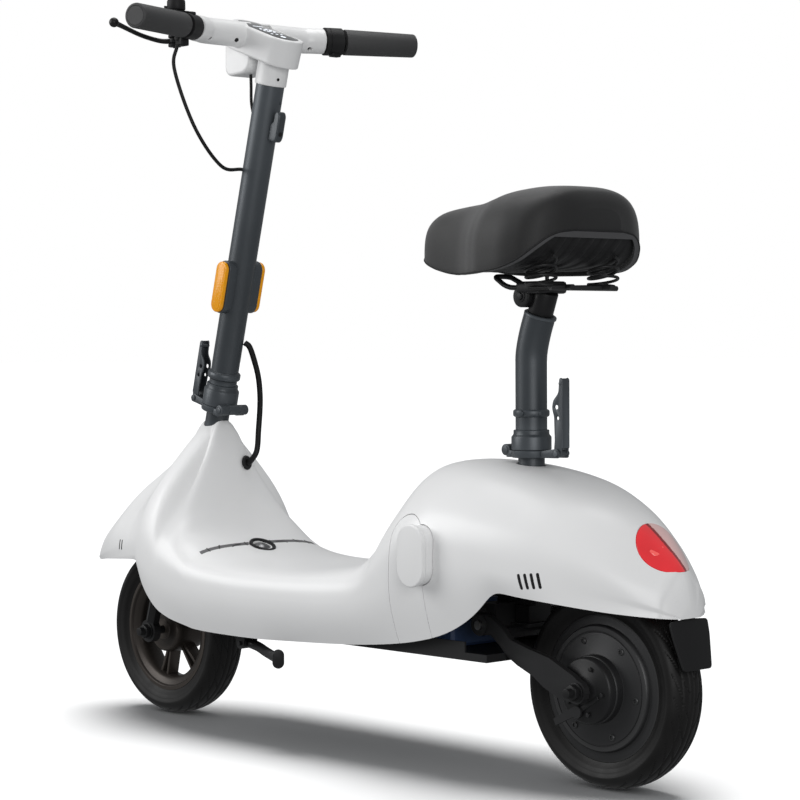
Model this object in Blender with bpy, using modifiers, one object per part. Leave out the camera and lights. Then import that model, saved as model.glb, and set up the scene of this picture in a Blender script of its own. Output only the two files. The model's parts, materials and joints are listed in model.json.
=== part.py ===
"""Seated electric scooter with ten-inch wheels, a folding stem and a folding seat post.

Metres, +Z up, +X forwards, +Y to the rider's left. The origin is the bottom centre of the
bounding box. Lengths along the scooter are written from the rear axle and moved by place().
"""
import bpy
import bmesh
import numpy as np
from math import cos, pi, radians, sin
from mathutils import Matrix, Vector

# Driving dimensions
REAR_AXLE_X = -0.4557        # the rear axle in the part's frame
WHEELBASE = 0.8783
WHEEL_RADIUS = 0.127
TYRE_HALF_WIDTH = 0.031
RIM_RADIUS = 0.092
STEM_LEAN = radians(14.7)
AXLE_OFFSET = 0.0133         # front axle ahead of the steering axis
GAP = 0.0004                 # between pieces that touch
SHELL = 0.003                # plastic wall
STEM_RADIUS = 0.0205
NECK_RADIUS = 0.0172
STEM_HINGE = (0.3513, 0.0306)   # up the steering axis, and behind it
SEAT_POST_X = 0.1405
SEAT_HINGE = (0.4185, 0.0300)   # height, and ahead of the seat post
SWINGARM_PIVOT = (0.166, 0.196)
KICKSTAND_PIVOT = (0.606, 0.092, 0.1370)
BAR_POINTS = ((0.692, 0.0), (0.691, 0.085), (0.683, 0.105), (0.6655, 0.150), (0.6300, 0.2585))
BAR_HEIGHT = 1.003
BAR_RADIUS = 0.0111
HEAD_PITCH = radians(20.0)

# Body lines, as (distance from the rear axle, value)
CROWN_HEIGHT = ((-0.125, 0.2245), (-0.121, 0.248), (-0.112, 0.272), (-0.083, 0.305), (-0.054, 0.3325),
                (0.007, 0.3655), (0.057, 0.383), (0.114, 0.394), (0.170, 0.400), (0.220, 0.402),
                (0.250, 0.399), (0.280, 0.387), (0.302, 0.363), (0.320, 0.333), (0.331, 0.300),
                (0.341, 0.277), (0.360, 0.263), (0.400, 0.2545), (0.460, 0.248), (0.540, 0.245),
                (0.600, 0.246), (0.640, 0.250), (0.680, 0.2605), (0.704, 0.273), (0.726, 0.292),
                (0.738, 0.315), (0.747, 0.345), (0.754, 0.385), (0.759, 0.425), (0.763, 0.442),
                (0.783, 0.445), (0.802, 0.443), (0.811, 0.430), (0.826, 0.404), (0.859, 0.374),
                (0.898, 0.345), (0.944, 0.311), (0.970, 0.291), (1.002, 0.264), (1.030, 0.240),
                (1.0455, 0.2250))
RIDGE_HEIGHT = ((-0.125, 0.2235), (-0.118, 0.248), (-0.110, 0.262), (-0.080, 0.283), (-0.040, 0.307),
                (0.000, 0.325), (0.050, 0.342), (0.100, 0.351), (0.150, 0.356), (0.200, 0.358),
                (0.250, 0.352), (0.280, 0.325), (0.300, 0.280), (0.320, 0.257), (0.347, 0.246),
                (0.400, 0.239), (0.470, 0.2355), (0.574, 0.2335), (0.650, 0.2355), (0.685, 0.241),
                (0.712, 0.255), (0.733, 0.277), (0.746, 0.298), (0.754, 0.325), (0.760, 0.355),
                (0.765, 0.392), (0.770, 0.420), (0.783, 0.430), (0.800, 0.424), (0.812, 0.402),
                (0.830, 0.375), (0.860, 0.342), (0.898, 0.308), (0.944, 0.277), (0.970, 0.262),
                (1.002, 0.245), (1.030, 0.231), (1.0455, 0.2235))
RIDGE_WIDTH = ((-0.125, 0.008), (-0.118, 0.017), (-0.110, 0.024), (-0.080, 0.046), (-0.040, 0.069),
               (0.000, 0.086), (0.050, 0.099), (0.100, 0.1055), (0.150, 0.110), (0.200, 0.111),
               (0.250, 0.106), (0.280, 0.112), (0.300, 0.128), (0.330, 0.130), (0.574, 0.130),
               (0.660, 0.132), (0.685, 0.132), (0.712, 0.1265), (0.733, 0.116), (0.746, 0.102),
               (0.754, 0.084), (0.760, 0.062), (0.765, 0.038), (0.770, 0.0235), (0.783, 0.0205),
               (0.800, 0.0225), (0.812, 0.028), (0.830, 0.040), (0.860, 0.061), (0.898, 0.079),
               (0.944, 0.0720), (0.970, 0.0600), (1.002, 0.0430), (1.030, 0.0230), (1.0455, 0.0070))
BELLY_WIDTH = ((-0.125, 0.0135), (-0.118, 0.0285), (-0.110, 0.039), (-0.080, 0.0645), (-0.040, 0.0895),
               (0.000, 0.1090), (0.050, 0.1240), (0.100, 0.1320), (0.160, 0.137), (0.220, 0.138),
               (0.300, 0.137), (0.460, 0.1365), (0.680, 0.1365), (0.780, 0.133), (0.820, 0.127),
               (0.860, 0.121), (0.900, 0.1100), (0.944, 0.0895), (0.970, 0.0752), (1.002, 0.0532),
               (1.030, 0.0300), (1.0455, 0.0105))
BELLY_HEIGHT = ((-0.125, 0.2227), (-0.110, 0.230), (-0.080, 0.241), (-0.040, 0.251), (0.000, 0.262),
                (0.050, 0.270), (0.100, 0.276), (0.150, 0.278), (0.220, 0.272), (0.290, 0.232),
                (0.350, 0.214), (0.460, 0.208), (0.680, 0.208), (0.740, 0.218), (0.780, 0.235),
                (0.820, 0.2500), (0.900, 0.2400), (0.970, 0.2320), (1.0455, 0.2225))
EDGE_WIDTH = ((-0.125, 0.0140), (-0.118, 0.0300), (-0.110, 0.041), (-0.080, 0.067), (-0.040, 0.091),
              (0.000, 0.1085), (0.050, 0.1185), (0.087, 0.122), (0.140, 0.121), (0.200, 0.119),
              (0.300, 0.119), (0.700, 0.121), (0.780, 0.1235), (0.820, 0.1245), (0.860, 0.120),
              (0.900, 0.1093), (0.944, 0.0889), (0.970, 0.0749), (1.002, 0.0529), (1.030, 0.0298),
              (1.0455, 0.0103))
EDGE_HEIGHT = ((-0.125, 0.2220), (-0.060, 0.2300), (0.000, 0.2390), (0.060, 0.2462), (0.083, 0.2490),
               (0.090, 0.2475), (0.112, 0.2270), (0.133, 0.2110), (0.165, 0.1940), (0.200, 0.1820),
               (0.260, 0.1700), (0.358, 0.1600), (0.460, 0.1545), (0.575, 0.1505), (0.675, 0.1520),
               (0.708, 0.1570), (0.742, 0.1640), (0.765, 0.1730), (0.788, 0.1920), (0.805, 0.2170),
               (0.813, 0.2390), (0.818, 0.2430), (0.870, 0.2400), (0.940, 0.2340), (1.0455, 0.2217))

for old in list(bpy.data.objects):
    bpy.data.objects.remove(old, do_unlink=True)
part = bpy.data.collections.new("electric_scooter")
cutters = bpy.data.collections.new("cutters")
for collection in (part, cutters):
    bpy.context.scene.collection.children.link(collection)


# ---------------------------------------------------------------- helpers
def place(x, y=0.0, z=0.0):
    """A point measured from the rear axle, in the part's frame."""
    return Vector((x + REAR_AXLE_X, y, z))


def stem_point(along, ahead=0.0, side=0.0):
    """A point on the steering axis, measured up it from the height of the front axle."""
    foot = place(WHEELBASE - AXLE_OFFSET, side, WHEEL_RADIUS)
    up = Vector((-sin(STEM_LEAN), 0, cos(STEM_LEAN)))
    front = Vector((cos(STEM_LEAN), 0, sin(STEM_LEAN)))
    return foot + up * along + front * ahead


MATERIALS = {}
for label, colour, roughness, metallic in (
        ("white_plastic", (0.86, 0.86, 0.86), 0.32, 0.0), ("slate_paint", (0.060, 0.072, 0.082), 0.45, 0.5),
        ("black_plastic", (0.018, 0.018, 0.019), 0.5, 0.0), ("black_steel", (0.02, 0.02, 0.021), 0.42, 0.8),
        ("rubber", (0.022, 0.022, 0.023), 0.75, 0.0), ("grip_rubber", (0.085, 0.085, 0.087), 0.7, 0.0),
        ("mat_rubber", (0.12, 0.12, 0.122), 0.7, 0.0), ("vinyl", (0.028, 0.028, 0.03), 0.6, 0.0),
        ("rim_alloy", (0.10, 0.088, 0.08), 0.4, 0.8), ("motor_alloy", (0.045, 0.045, 0.047), 0.45, 0.7),
        ("steel", (0.55, 0.55, 0.56), 0.3, 1.0), ("amber_lens", (0.85, 0.42, 0.02), 0.2, 0.0),
        ("red_lens", (0.75, 0.03, 0.04), 0.15, 0.0), ("clear_lens", (0.8, 0.82, 0.85), 0.1, 0.0),
        ("display_glass", (0.01, 0.01, 0.011), 0.08, 0.0), ("cell_wrap", (0.05, 0.09, 0.2), 0.5, 0.0)):
    made = bpy.data.materials.new(label)
    made.use_nodes = True
    shader = made.node_tree.nodes["Principled BSDF"]
    shader.inputs["Base Color"].default_value = (*colour, 1)
    shader.inputs["Roughness"].default_value = roughness
    shader.inputs["Metallic"].default_value = metallic
    MATERIALS[label] = made


def add(name, mesh, finish=None, at=(0, 0, 0), turn=(0, 0, 0), smooth=35.0):
    """Link a mesh as a named piece with its finish."""
    obj = bpy.data.objects.new(name, mesh)
    obj.location = at
    obj.rotation_euler = turn
    part.objects.link(obj)
    if finish:
        mesh.materials.clear()
        mesh.materials.append(MATERIALS[finish])
    if smooth:
        mesh.shade_smooth()
        mesh.set_sharp_from_angle(angle=radians(smooth))
    return obj


def from_bmesh(name, bm, **where):
    bmesh.ops.recalc_face_normals(bm, faces=bm.faces)
    mesh = bpy.data.meshes.new(name)
    bm.to_mesh(mesh)
    bm.free()
    return add(name, mesh, **where)


def box(name, size, bevel=0.0, **where):
    bm = bmesh.new()
    bmesh.ops.create_cube(bm, size=1.0, matrix=Matrix.Diagonal((*size, 1)))
    obj = from_bmesh(name, bm, **where)
    if bevel:
        round_edges(obj, bevel)
    return obj


def rod(name, radius, length, top_radius=None, sides=16, **where):
    """A cylinder or cone along its own Z."""
    bm = bmesh.new()
    bmesh.ops.create_cone(bm, cap_ends=True, segments=sides, radius1=radius,
                          radius2=radius if top_radius is None else top_radius, depth=length)
    return from_bmesh(name, bm, **where)


def turned(name, profile, steps=18, **where):
    """A profile of (radius, height) pairs, top to bottom, turned about its own Z and merged."""
    mesh = bpy.data.meshes.new(name)
    count = len(profile)
    closed = profile[0][0] > 0
    edges = [(i, i + 1) for i in range(count - 1)] + ([(count - 1, 0)] if closed else [])
    mesh.from_pydata([(r, 0, z) for r, z in profile], edges, [])
    obj = add(name, mesh, smooth=None, **where)
    screw = obj.modifiers.new("turn", "SCREW")
    screw.steps = steps
    screw.render_steps = steps
    screw.use_merge_vertices = True
    screw.merge_threshold = 0.00001
    screw.use_smooth_shade = True
    return obj


def round_edges(obj, width, segments=1, angle=40.0):
    bevel = obj.modifiers.new("round", "BEVEL")
    bevel.width = width
    bevel.segments = segments
    bevel.limit_method = "ANGLE"
    bevel.angle_limit = radians(angle)


def as_mesh(curve, name, finish):
    """Turn a curve object into one closed mesh piece."""
    bpy.context.view_layer.update()
    evaluated = curve.evaluated_get(bpy.context.evaluated_depsgraph_get())
    mesh = bpy.data.meshes.new_from_object(evaluated)
    bm = bmesh.new()
    bm.from_mesh(mesh)
    bmesh.ops.remove_doubles(bm, verts=bm.verts, dist=0.00001)
    bmesh.ops.recalc_face_normals(bm, faces=bm.faces)
    bm.to_mesh(mesh)
    bm.free()
    mesh.name = name
    obj = add(name, mesh, finish)
    obj.matrix_world = curve.matrix_world.copy()
    bpy.data.objects.remove(curve, do_unlink=True)
    return obj


def tube(name, points, radius, finish=None, sides=3, radii=None):
    """A round bar through points, with flat closed ends."""
    data = bpy.data.curves.new(name, "CURVE")
    data.dimensions = "3D"
    data.bevel_depth = radius
    data.bevel_resolution = sides
    data.use_fill_caps = True
    spline = data.splines.new("POLY")
    spline.points.add(len(points) - 1)
    for i, point in enumerate(points):
        spline.points[i].co = (*point, 1)
        if radii:
            spline.points[i].radius = radii[i]
    curve = bpy.data.objects.new(name + "_line", data)
    part.objects.link(curve)
    return as_mesh(curve, name, finish)


def smooth_path(points, count):
    """Points spread along a smooth curve through the given ones."""
    p = np.array([tuple(q) for q in points], float)
    p = np.vstack([2 * p[0] - p[1], p, 2 * p[-1] - p[-2]])
    spans = len(p) - 3
    path = []
    for t in np.linspace(0, spans - 1e-9, count):
        i = int(t)
        u = t - i
        a, b, c, d = p[i:i + 4]
        path.append(0.5 * ((2 * b) + (c - a) * u + (2 * a - 5 * b + 4 * c - d) * u ** 2
                           + (3 * b - a - 3 * c + d) * u ** 3))
    return [Vector(q) for q in path]


def plate(name, outline, thickness, finish=None, at=(0, 0, 0), turn=(pi / 2, 0, 0), holes=()):
    """A flat outline, in its own X and Y, with a thickness along its own Z."""
    data = bpy.data.curves.new(name, "CURVE")
    data.dimensions = "2D"
    data.fill_mode = "BOTH"
    data.extrude = thickness / 2
    for loop in (outline, *holes):
        spline = data.splines.new("POLY")
        spline.points.add(len(loop) - 1)
        spline.use_cyclic_u = True
        for i, (u, v) in enumerate(loop):
            spline.points[i].co = (u, v, 0, 1)
    curve = bpy.data.objects.new(name + "_outline", data)
    curve.location = at
    curve.rotation_euler = turn
    part.objects.link(curve)
    return as_mesh(curve, name, finish)


def arc(cx, cy, radius, start, end, count=8):
    """Points on a circular arc, angles in degrees."""
    return [(cx + radius * cos(radians(a)), cy + radius * sin(radians(a)))
            for a in np.linspace(start, end, count)]


def stadium(cx, cy, width, height, count=6):
    """An upright slot outline."""
    r = width / 2
    reach = height / 2 - r
    return arc(cx, cy + reach, r, 0, 180, count) + arc(cx, cy - reach, r, 180, 360, count)


def hide(obj):
    for owner in list(obj.users_collection):
        owner.objects.unlink(obj)
    cutters.objects.link(obj)
    obj.hide_render = True
    obj.display_type = "WIRE"


def combine(target, tool, operation):
    modifier = target.modifiers.new(operation.lower(), "BOOLEAN")
    modifier.operation = operation
    modifier.object = tool
    hide(tool)
    return target


def cut(target, *tools):
    for tool in tools:
        combine(target, tool, "DIFFERENCE")
    return target


def fuse(target, *tools):
    for tool in tools:
        combine(target, tool, "UNION")
    return target


def joint(name, at, pieces, parent=None, turn=(0, 0, 0)):
    """An empty on a joint's axis that carries the pieces which move together."""
    empty = bpy.data.objects.new(name, None)
    empty.empty_display_size = 0.03
    part.objects.link(empty)
    empty.location = at
    empty.rotation_euler = turn
    bpy.context.view_layer.update()
    for piece in pieces:
        piece.parent = empty
        piece.matrix_parent_inverse = empty.matrix_world.inverted()
    if parent:
        empty.parent = parent
        empty.matrix_parent_inverse = parent.matrix_world.inverted()
    bpy.context.view_layer.update()
    return empty


ALONG_Y = (pi / 2, 0, 0)
ALONG_STEM = (0, -STEM_LEAN, 0)


# ---------------------------------------------------------------- body surface
def line(points, x):
    """A body line's value at x: a monotone cubic through its points."""
    px, py = np.array(points, float).T
    h = np.diff(px)
    d = np.diff(py) / h
    slope = np.zeros(len(px))
    for i in range(1, len(px) - 1):
        if d[i - 1] * d[i] > 0:
            a, b = 2 * h[i] + h[i - 1], h[i] + 2 * h[i - 1]
            slope[i] = (a + b) / (a / d[i - 1] + b / d[i])
    slope[0], slope[-1] = d[0], d[-1]
    i = int(np.clip(np.searchsorted(px, x, side="right") - 1, 0, len(px) - 2))
    u = (x - px[i]) / h[i]
    return float((1 + 2 * u) * (1 - u) ** 2 * py[i] + u * (1 - u) ** 2 * h[i] * slope[i]
                 + u * u * (3 - 2 * u) * py[i + 1] + u * u * (u - 1) * h[i] * slope[i + 1])


def bezier(a, b, c, d, u):
    return (1 - u) ** 3 * a + 3 * u * (1 - u) ** 2 * b + 3 * u * u * (1 - u) * c + u ** 3 * d


def half_section(x, low=2, side=3, top=3):
    """The body's left half at x, as (y, z) points from the lower edge to the crown."""
    edge = np.array((line(EDGE_WIDTH, x), line(EDGE_HEIGHT, x)))
    belly = np.array((line(BELLY_WIDTH, x), max(line(BELLY_HEIGHT, x), edge[1] + 0.0004)))
    ridge = np.array((line(RIDGE_WIDTH, x), max(line(RIDGE_HEIGHT, x), belly[1] + 0.0004)))
    crown = np.array((0.0, max(line(CROWN_HEIGHT, x), ridge[1] + 0.0003)))
    lean = np.array((-1.0, 1.0)) / 2 ** 0.5
    points = []
    rise = belly - edge
    for u in np.linspace(0, 1, low + 1)[:-1]:
        points.append(edge + rise * np.array((sin(u * pi / 2), u)))
    reach = min(0.5 * np.linalg.norm(ridge - belly), 0.95 * (belly[0] - ridge[0]) * 2 ** 0.5)
    up = np.array((0.0, 0.45 * (ridge[1] - belly[1])))
    for u in np.linspace(0, 1, side + 1)[:-1]:
        points.append(bezier(belly, belly + up, ridge - lean * reach, ridge, u))
    reach = min(0.4 * np.linalg.norm(crown - ridge), 0.95 * (crown[1] - ridge[1]) * 2 ** 0.5)
    level = np.array((0.5 * ridge[0], 0.0))
    for u in np.linspace(0, 1, top + 1):
        points.append(bezier(ridge, ridge + lean * reach, crown + level, crown, u))
    return points


def body_sheet(stations, **detail):
    """Rows of points on the body's outer face, across from left edge to right edge."""
    rows = []
    for x in stations:
        half = half_section(x, **detail)
        row = [place(x, y, z) for y, z in half]
        row += [place(x, -y, z) for y, z in reversed(half[:-1])]
        rows.append(row)
    return rows


def sheet_piece(name, rows, finish, thickness=SHELL):
    """A plastic wall of even thickness behind a grid of points."""
    bm = bmesh.new()
    grid = [[bm.verts.new(p) for p in row] for row in rows]
    for lower, upper in zip(grid, grid[1:]):
        for j in range(len(lower) - 1):
            bm.faces.new((lower[j], upper[j], upper[j + 1], lower[j + 1]))
    mesh = bpy.data.meshes.new(name)
    bm.to_mesh(mesh)
    bm.free()
    obj = add(name, mesh, finish, smooth=50.0)
    wall = obj.modifiers.new("wall", "SOLIDIFY")
    wall.thickness = thickness
    wall.offset = -1
    wall.use_even_offset = True
    wall.thickness_clamp = 1.0
    return obj


def span(*runs):
    """Stations made of runs, each (start, end, steps)."""
    stations = []
    for start, end, steps in runs:
        stations += list(np.linspace(start, end, steps + 1)[:-1])
    return stations + [runs[-1][1]]


FRONT_SEAM_X = 0.262
STRIP_WIDTH = 0.061
STRIP_TOP = 0.338
rear_stations = span((-0.1245, -0.108, 3), (-0.108, 0.080, 7), (0.080, 0.120, 3), (0.120, FRONT_SEAM_X - GAP, 4))
front_stations = span((FRONT_SEAM_X + GAP, 0.345, 5), (0.345, 0.400, 1), (0.400, 0.680, 2), (0.680, 0.742, 5),
                      (0.742, 0.772, 5), (0.772, 0.800, 2), (0.800, 0.832, 3), (0.832, 1.000, 4),
                      (1.000, 1.0450, 3))
rear_shell = sheet_piece("rear_shell", body_sheet(rear_stations), "white_plastic")
front_shell = sheet_piece("front_shell", body_sheet(front_stations), "white_plastic")


# ---------------------------------------------------------------- side covers and bumpers
def strip_outline(grow):
    """The side cover's upright outline: straight sides and a round top."""
    x = FRONT_SEAM_X - STRIP_WIDTH / 2 + REAR_AXLE_X
    r = STRIP_WIDTH / 2 + grow
    return [(x - r, 0.14), (x + r, 0.14)] + arc(x, STRIP_TOP - STRIP_WIDTH / 2, r, 0, 180, 13)


BUMPER_X = 0.2035
BUMPER_Z = 0.288
side_covers = []
side_bumpers = []
for label, hand in (("left", 1), ("right", -1)):
    window = plate(f"window_{label}", strip_outline(0.0), 0.2, at=(0, 0.15 * hand, 0))
    cut(rear_shell, window)
    cover = sheet_piece(f"side_cover_{label}",
                        body_sheet(span((0.196, FRONT_SEAM_X + 0.006, 6))), "white_plastic")
    keep = plate(f"keep_{label}", strip_outline(-GAP), 0.17, at=(0, 0.15 * hand, 0))
    combine(cover, keep, "INTERSECT")
    pedestal = plate(f"pedestal_{label}", stadium(BUMPER_X + REAR_AXLE_X, BUMPER_Z, 0.046, 0.076), 0.0210,
                     at=(0, 0.1405 * hand, 0))
    fuse(cover, pedestal)
    cut(rear_shell, plate(f"pedestal_way_{label}", stadium(BUMPER_X + REAR_AXLE_X, BUMPER_Z, 0.0470, 0.0770), 0.06,
                          at=(0, 0.14 * hand, 0)))
    side_covers.append(cover)
    pad = plate(f"side_bumper_{label}", stadium(BUMPER_X + REAR_AXLE_X, BUMPER_Z, 0.048, 0.080), 0.0075,
                "white_plastic", at=(0, 0.15515 * hand, 0))
    round_edges(pad, 0.0015)
    side_bumpers.append(pad)


# ---------------------------------------------------------------- openings in the body
TAIL_LAMP = (-0.083, 0.305)
LAMP_TILT = radians(-46.0)      # the lamp's face leans back from level
LAMP_RADIUS = 0.039
cut(rear_shell,
    rod("post_bore", 0.0195, 0.08, at=place(SEAT_POST_X, 0, 0.40)),
    rod("lamp_bore", LAMP_RADIUS + 0.0006, 0.07, sides=32, at=place(TAIL_LAMP[0], 0, TAIL_LAMP[1]),
        turn=(0, LAMP_TILT, 0)))
for label, hand in (("left", 1), ("right", -1)):
    for i in range(4):
        slot = box(f"vent_{label}_{i}", (0.0035, 0.04, 0.019), at=place(0.043 - 0.0085 * i, 0.12 * hand, 0.264 + 0.0008 * i),
                   turn=(0, radians(-12), 0))
        cut(rear_shell, slot)
    for i in range(2):
        slot = box(f"nose_vent_{label}_{i}", (0.0025, 0.05, 0.014), at=place(0.853 + 0.006 * i, 0.12 * hand, 0.262))
        cut(front_shell, slot)
LOCK = (0.680, 0.2605)
LOCK_TILT = radians(-22)
CABLE_ENTRY = place(0.7508, -0.0290, 0.3800)
CABLE_NORMAL = Vector((-0.967, -0.194, 0.165)).normalized()
cut(front_shell,
    rod("neck_bore", 0.0181, 0.09, sides=24, at=stem_point(0.335), turn=ALONG_STEM),
    rod("lock_bore", 0.0125, 0.04, at=place(LOCK[0], 0, LOCK[1])),
    rod("cable_bore", 0.0075, 0.03, sides=16, at=CABLE_ENTRY, turn=CABLE_NORMAL.to_track_quat("Z", "X").to_euler()))


# ---------------------------------------------------------------- deck mat
MAT_THICKNESS = 0.0045
MAT_GAP = 0.0016
mat_rows = []
for x in front_stations:
    if 0.330 < x < 0.745:
        half = half_section(x)[5:]
        mat_rows.append([place(x, y, z) for y, z in half] + [place(x, -y, z) for y, z in reversed(half[:-1])])
mat_outline = [(0.725, -0.080), (0.727, 0.0), (0.725, 0.080), (0.721, 0.092), (0.710, 0.101), (0.686, 0.109),
               (0.640, 0.115), (0.380, 0.116), (0.356, 0.112), (0.345, 0.098), (0.340, 0.060), (0.339, 0.0),
               (0.340, -0.060), (0.345, -0.098), (0.356, -0.112), (0.380, -0.116), (0.640, -0.115),
               (0.686, -0.109), (0.710, -0.101), (0.721, -0.092)]
deck_mat = sheet_piece("deck_mat", mat_rows, "mat_rubber", MAT_THICKNESS)
deck_mat.modifiers["wall"].offset = 1 + 2 * MAT_GAP / MAT_THICKNESS
trim = plate("mat_trim", [(x + REAR_AXLE_X, y) for x, y in mat_outline], 0.3, at=(0, 0, 0.3), turn=(0, 0, 0))
combine(deck_mat, trim, "INTERSECT")
cut(deck_mat, rod("mat_bore", 0.0205, 0.05, at=place(LOCK[0], 0, LOCK[1] + 0.002), turn=(0, LOCK_TILT, 0)))


# ---------------------------------------------------------------- main frame
RAIL_Y = 0.068
RAIL_Z = 0.2110
RAIL_RADIUS = 0.0125
STEERER_RADIUS = 0.0150
main_frame = turned("main_frame", ((0.0, 0.3160), (0.0176, 0.3160), (0.0176, 0.2620), (0.0205, 0.2560),
                                   (0.0205, 0.2130), (0.0, 0.2130)), finish="black_steel",
                    at=stem_point(0), turn=ALONG_STEM)
for hand, label in ((1, "left"), (-1, "right")):
    path = smooth_path([stem_point(0.238, -0.010, 0.004 * hand), place(0.766, 0.018 * hand, 0.305),
                        place(0.737, 0.040 * hand, 0.240), place(0.700, 0.060 * hand, 0.2135),
                        place(0.640, RAIL_Y * hand, RAIL_Z)], 8)
    path += [place(0.240, RAIL_Y * hand, RAIL_Z), place(0.198, 0.051 * hand, RAIL_Z),
             place(0.172, 0.036 * hand, RAIL_Z)]
    fuse(main_frame, tube(f"rail_{label}", path, RAIL_RADIUS, sides=1))
for i, x in enumerate((0.560, 0.330)):
    bridge = [place(x, -RAIL_Y, RAIL_Z + 0.006), place(x, -0.048, 0.2300), place(x, 0.048, 0.2300),
              place(x, RAIL_Y, RAIL_Z + 0.006)]
    fuse(main_frame, tube(f"bridge_{i}", bridge, 0.006, sides=1))
fuse(main_frame,
     box("pivot_block", (0.028, 0.100, 0.034), at=place(0.171, 0, 0.2050)),
     rod("seat_socket", 0.0210, 0.158, at=place(SEAT_POST_X, 0, 0.3140)),
     box("socket_foot", (0.068, 0.034, 0.030), at=place(0.152, 0, 0.2350)))
cut(main_frame,
    rod("steerer_bore", STEERER_RADIUS + 0.0006, 0.15, at=stem_point(0.262), turn=ALONG_STEM),
    rod("socket_bore", NECK_RADIUS + GAP, 0.14, at=place(SEAT_POST_X, 0, 0.345)),
    rod("pivot_bore", 0.0064, 0.20, turn=ALONG_Y, at=place(SWINGARM_PIVOT[0], 0, SWINGARM_PIVOT[1])))
# ---------------------------------------------------------------- battery, tray, controller
battery_tray = box("battery_tray", (0.569, 0.208, 0.0235), finish="black_plastic", at=place(0.4055, 0, 0.16625))
cut(battery_tray,
    box("tray_hollow", (0.563, 0.202, 0.0235), at=place(0.4055, 0, 0.16925)),
    box("tray_notch", (0.044, 0.22, 0.02), at=place(0.138, 0, 0.1745)),
    box("tray_wheel_gap", (0.050, 0.084, 0.05), at=place(0.120, 0, 0.16)))
battery_pack = box("battery_pack", (0.400, 0.100, 0.060), 0.004, finish="cell_wrap", at=place(0.436, 0, 0.1885))
motor_controller = box("motor_controller", (0.036, 0.080, 0.040), 0.002, finish="motor_alloy",
                       at=place(0.661, 0, 0.1785))

# ---------------------------------------------------------------- tail lamp and mudflap
tail_lamp = sheet_piece("tail_lamp", body_sheet(span((-0.1235, -0.030, 8)), low=1, side=2, top=4), "red_lens",
                        thickness=0.0050)
combine(tail_lamp, rod("lens_edge", LAMP_RADIUS, 0.07, sides=32, at=place(TAIL_LAMP[0], 0, TAIL_LAMP[1]),
                       turn=(0, LAMP_TILT, 0)), "INTERSECT")
mudflap = plate("mudflap", [(-0.020, 0.030), (-0.020, 0.0190), (-0.0355, 0.0180), (-0.0345, 0.0),
                            (-0.0300, -0.024), (-0.0268, -0.035), (-0.0220, -0.0410), (-0.0160, -0.0430),
                            (0.0160, -0.0430), (0.0220, -0.0410), (0.0268, -0.035), (0.0300, -0.024),
                            (0.0345, 0.0), (0.0355, 0.0180), (0.020, 0.0190), (0.020, 0.030)], 0.0030,
                "black_plastic", at=place(-0.1235, 0, 0.2020), turn=(radians(76), 0, -pi / 2))

# ---------------------------------------------------------------- kickstand
kx, ky, kz = KICKSTAND_PIVOT
kickstand_bracket = box("kickstand_bracket", (0.040, 0.026, 0.0030), finish="black_steel",
                        at=place(kx + 0.004, ky, 0.1526))
for side in (-0.0105, 0.0105):
    ear = plate(f"ear_{side}", [(-0.012, 0.0165), (0.012, 0.0165)] + arc(0, 0, 0.0085, 0, -180, 7), 0.0030,
                at=place(kx, ky + side, kz))
    fuse(kickstand_bracket, ear)
fuse(kickstand_bracket, rod("kick_pin", 0.0030, 0.0300, sides=16, turn=ALONG_Y, at=place(kx, ky, kz)))
kickstand_leg = tube("kickstand_leg", smooth_path([place(kx - 0.004, ky, kz), place(kx - 0.030, ky + 0.004, kz - 0.003),
                                                   place(kx - 0.075, ky + 0.026, kz - 0.005),
                                                   place(kx - 0.131, ky + 0.054, kz - 0.006)], 8), 0.0068,
                     "black_steel")
fuse(kickstand_leg, rod("leg_eye", 0.0082, 0.0170, turn=ALONG_Y, at=place(kx, ky, kz)))
cut(kickstand_leg, rod("leg_bore", 0.0033, 0.06, turn=ALONG_Y, at=place(kx, ky, kz)))
fuse(kickstand_leg, plate("kick_foot", stadium(0, 0, 0.016, 0.026), 0.0050,
                          at=place(kx - 0.1325, ky + 0.0548, kz - 0.006), turn=(pi / 2, 0, radians(64))))
kickstand_hinge = joint("kickstand_hinge", place(kx, ky, kz), [kickstand_leg])

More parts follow.
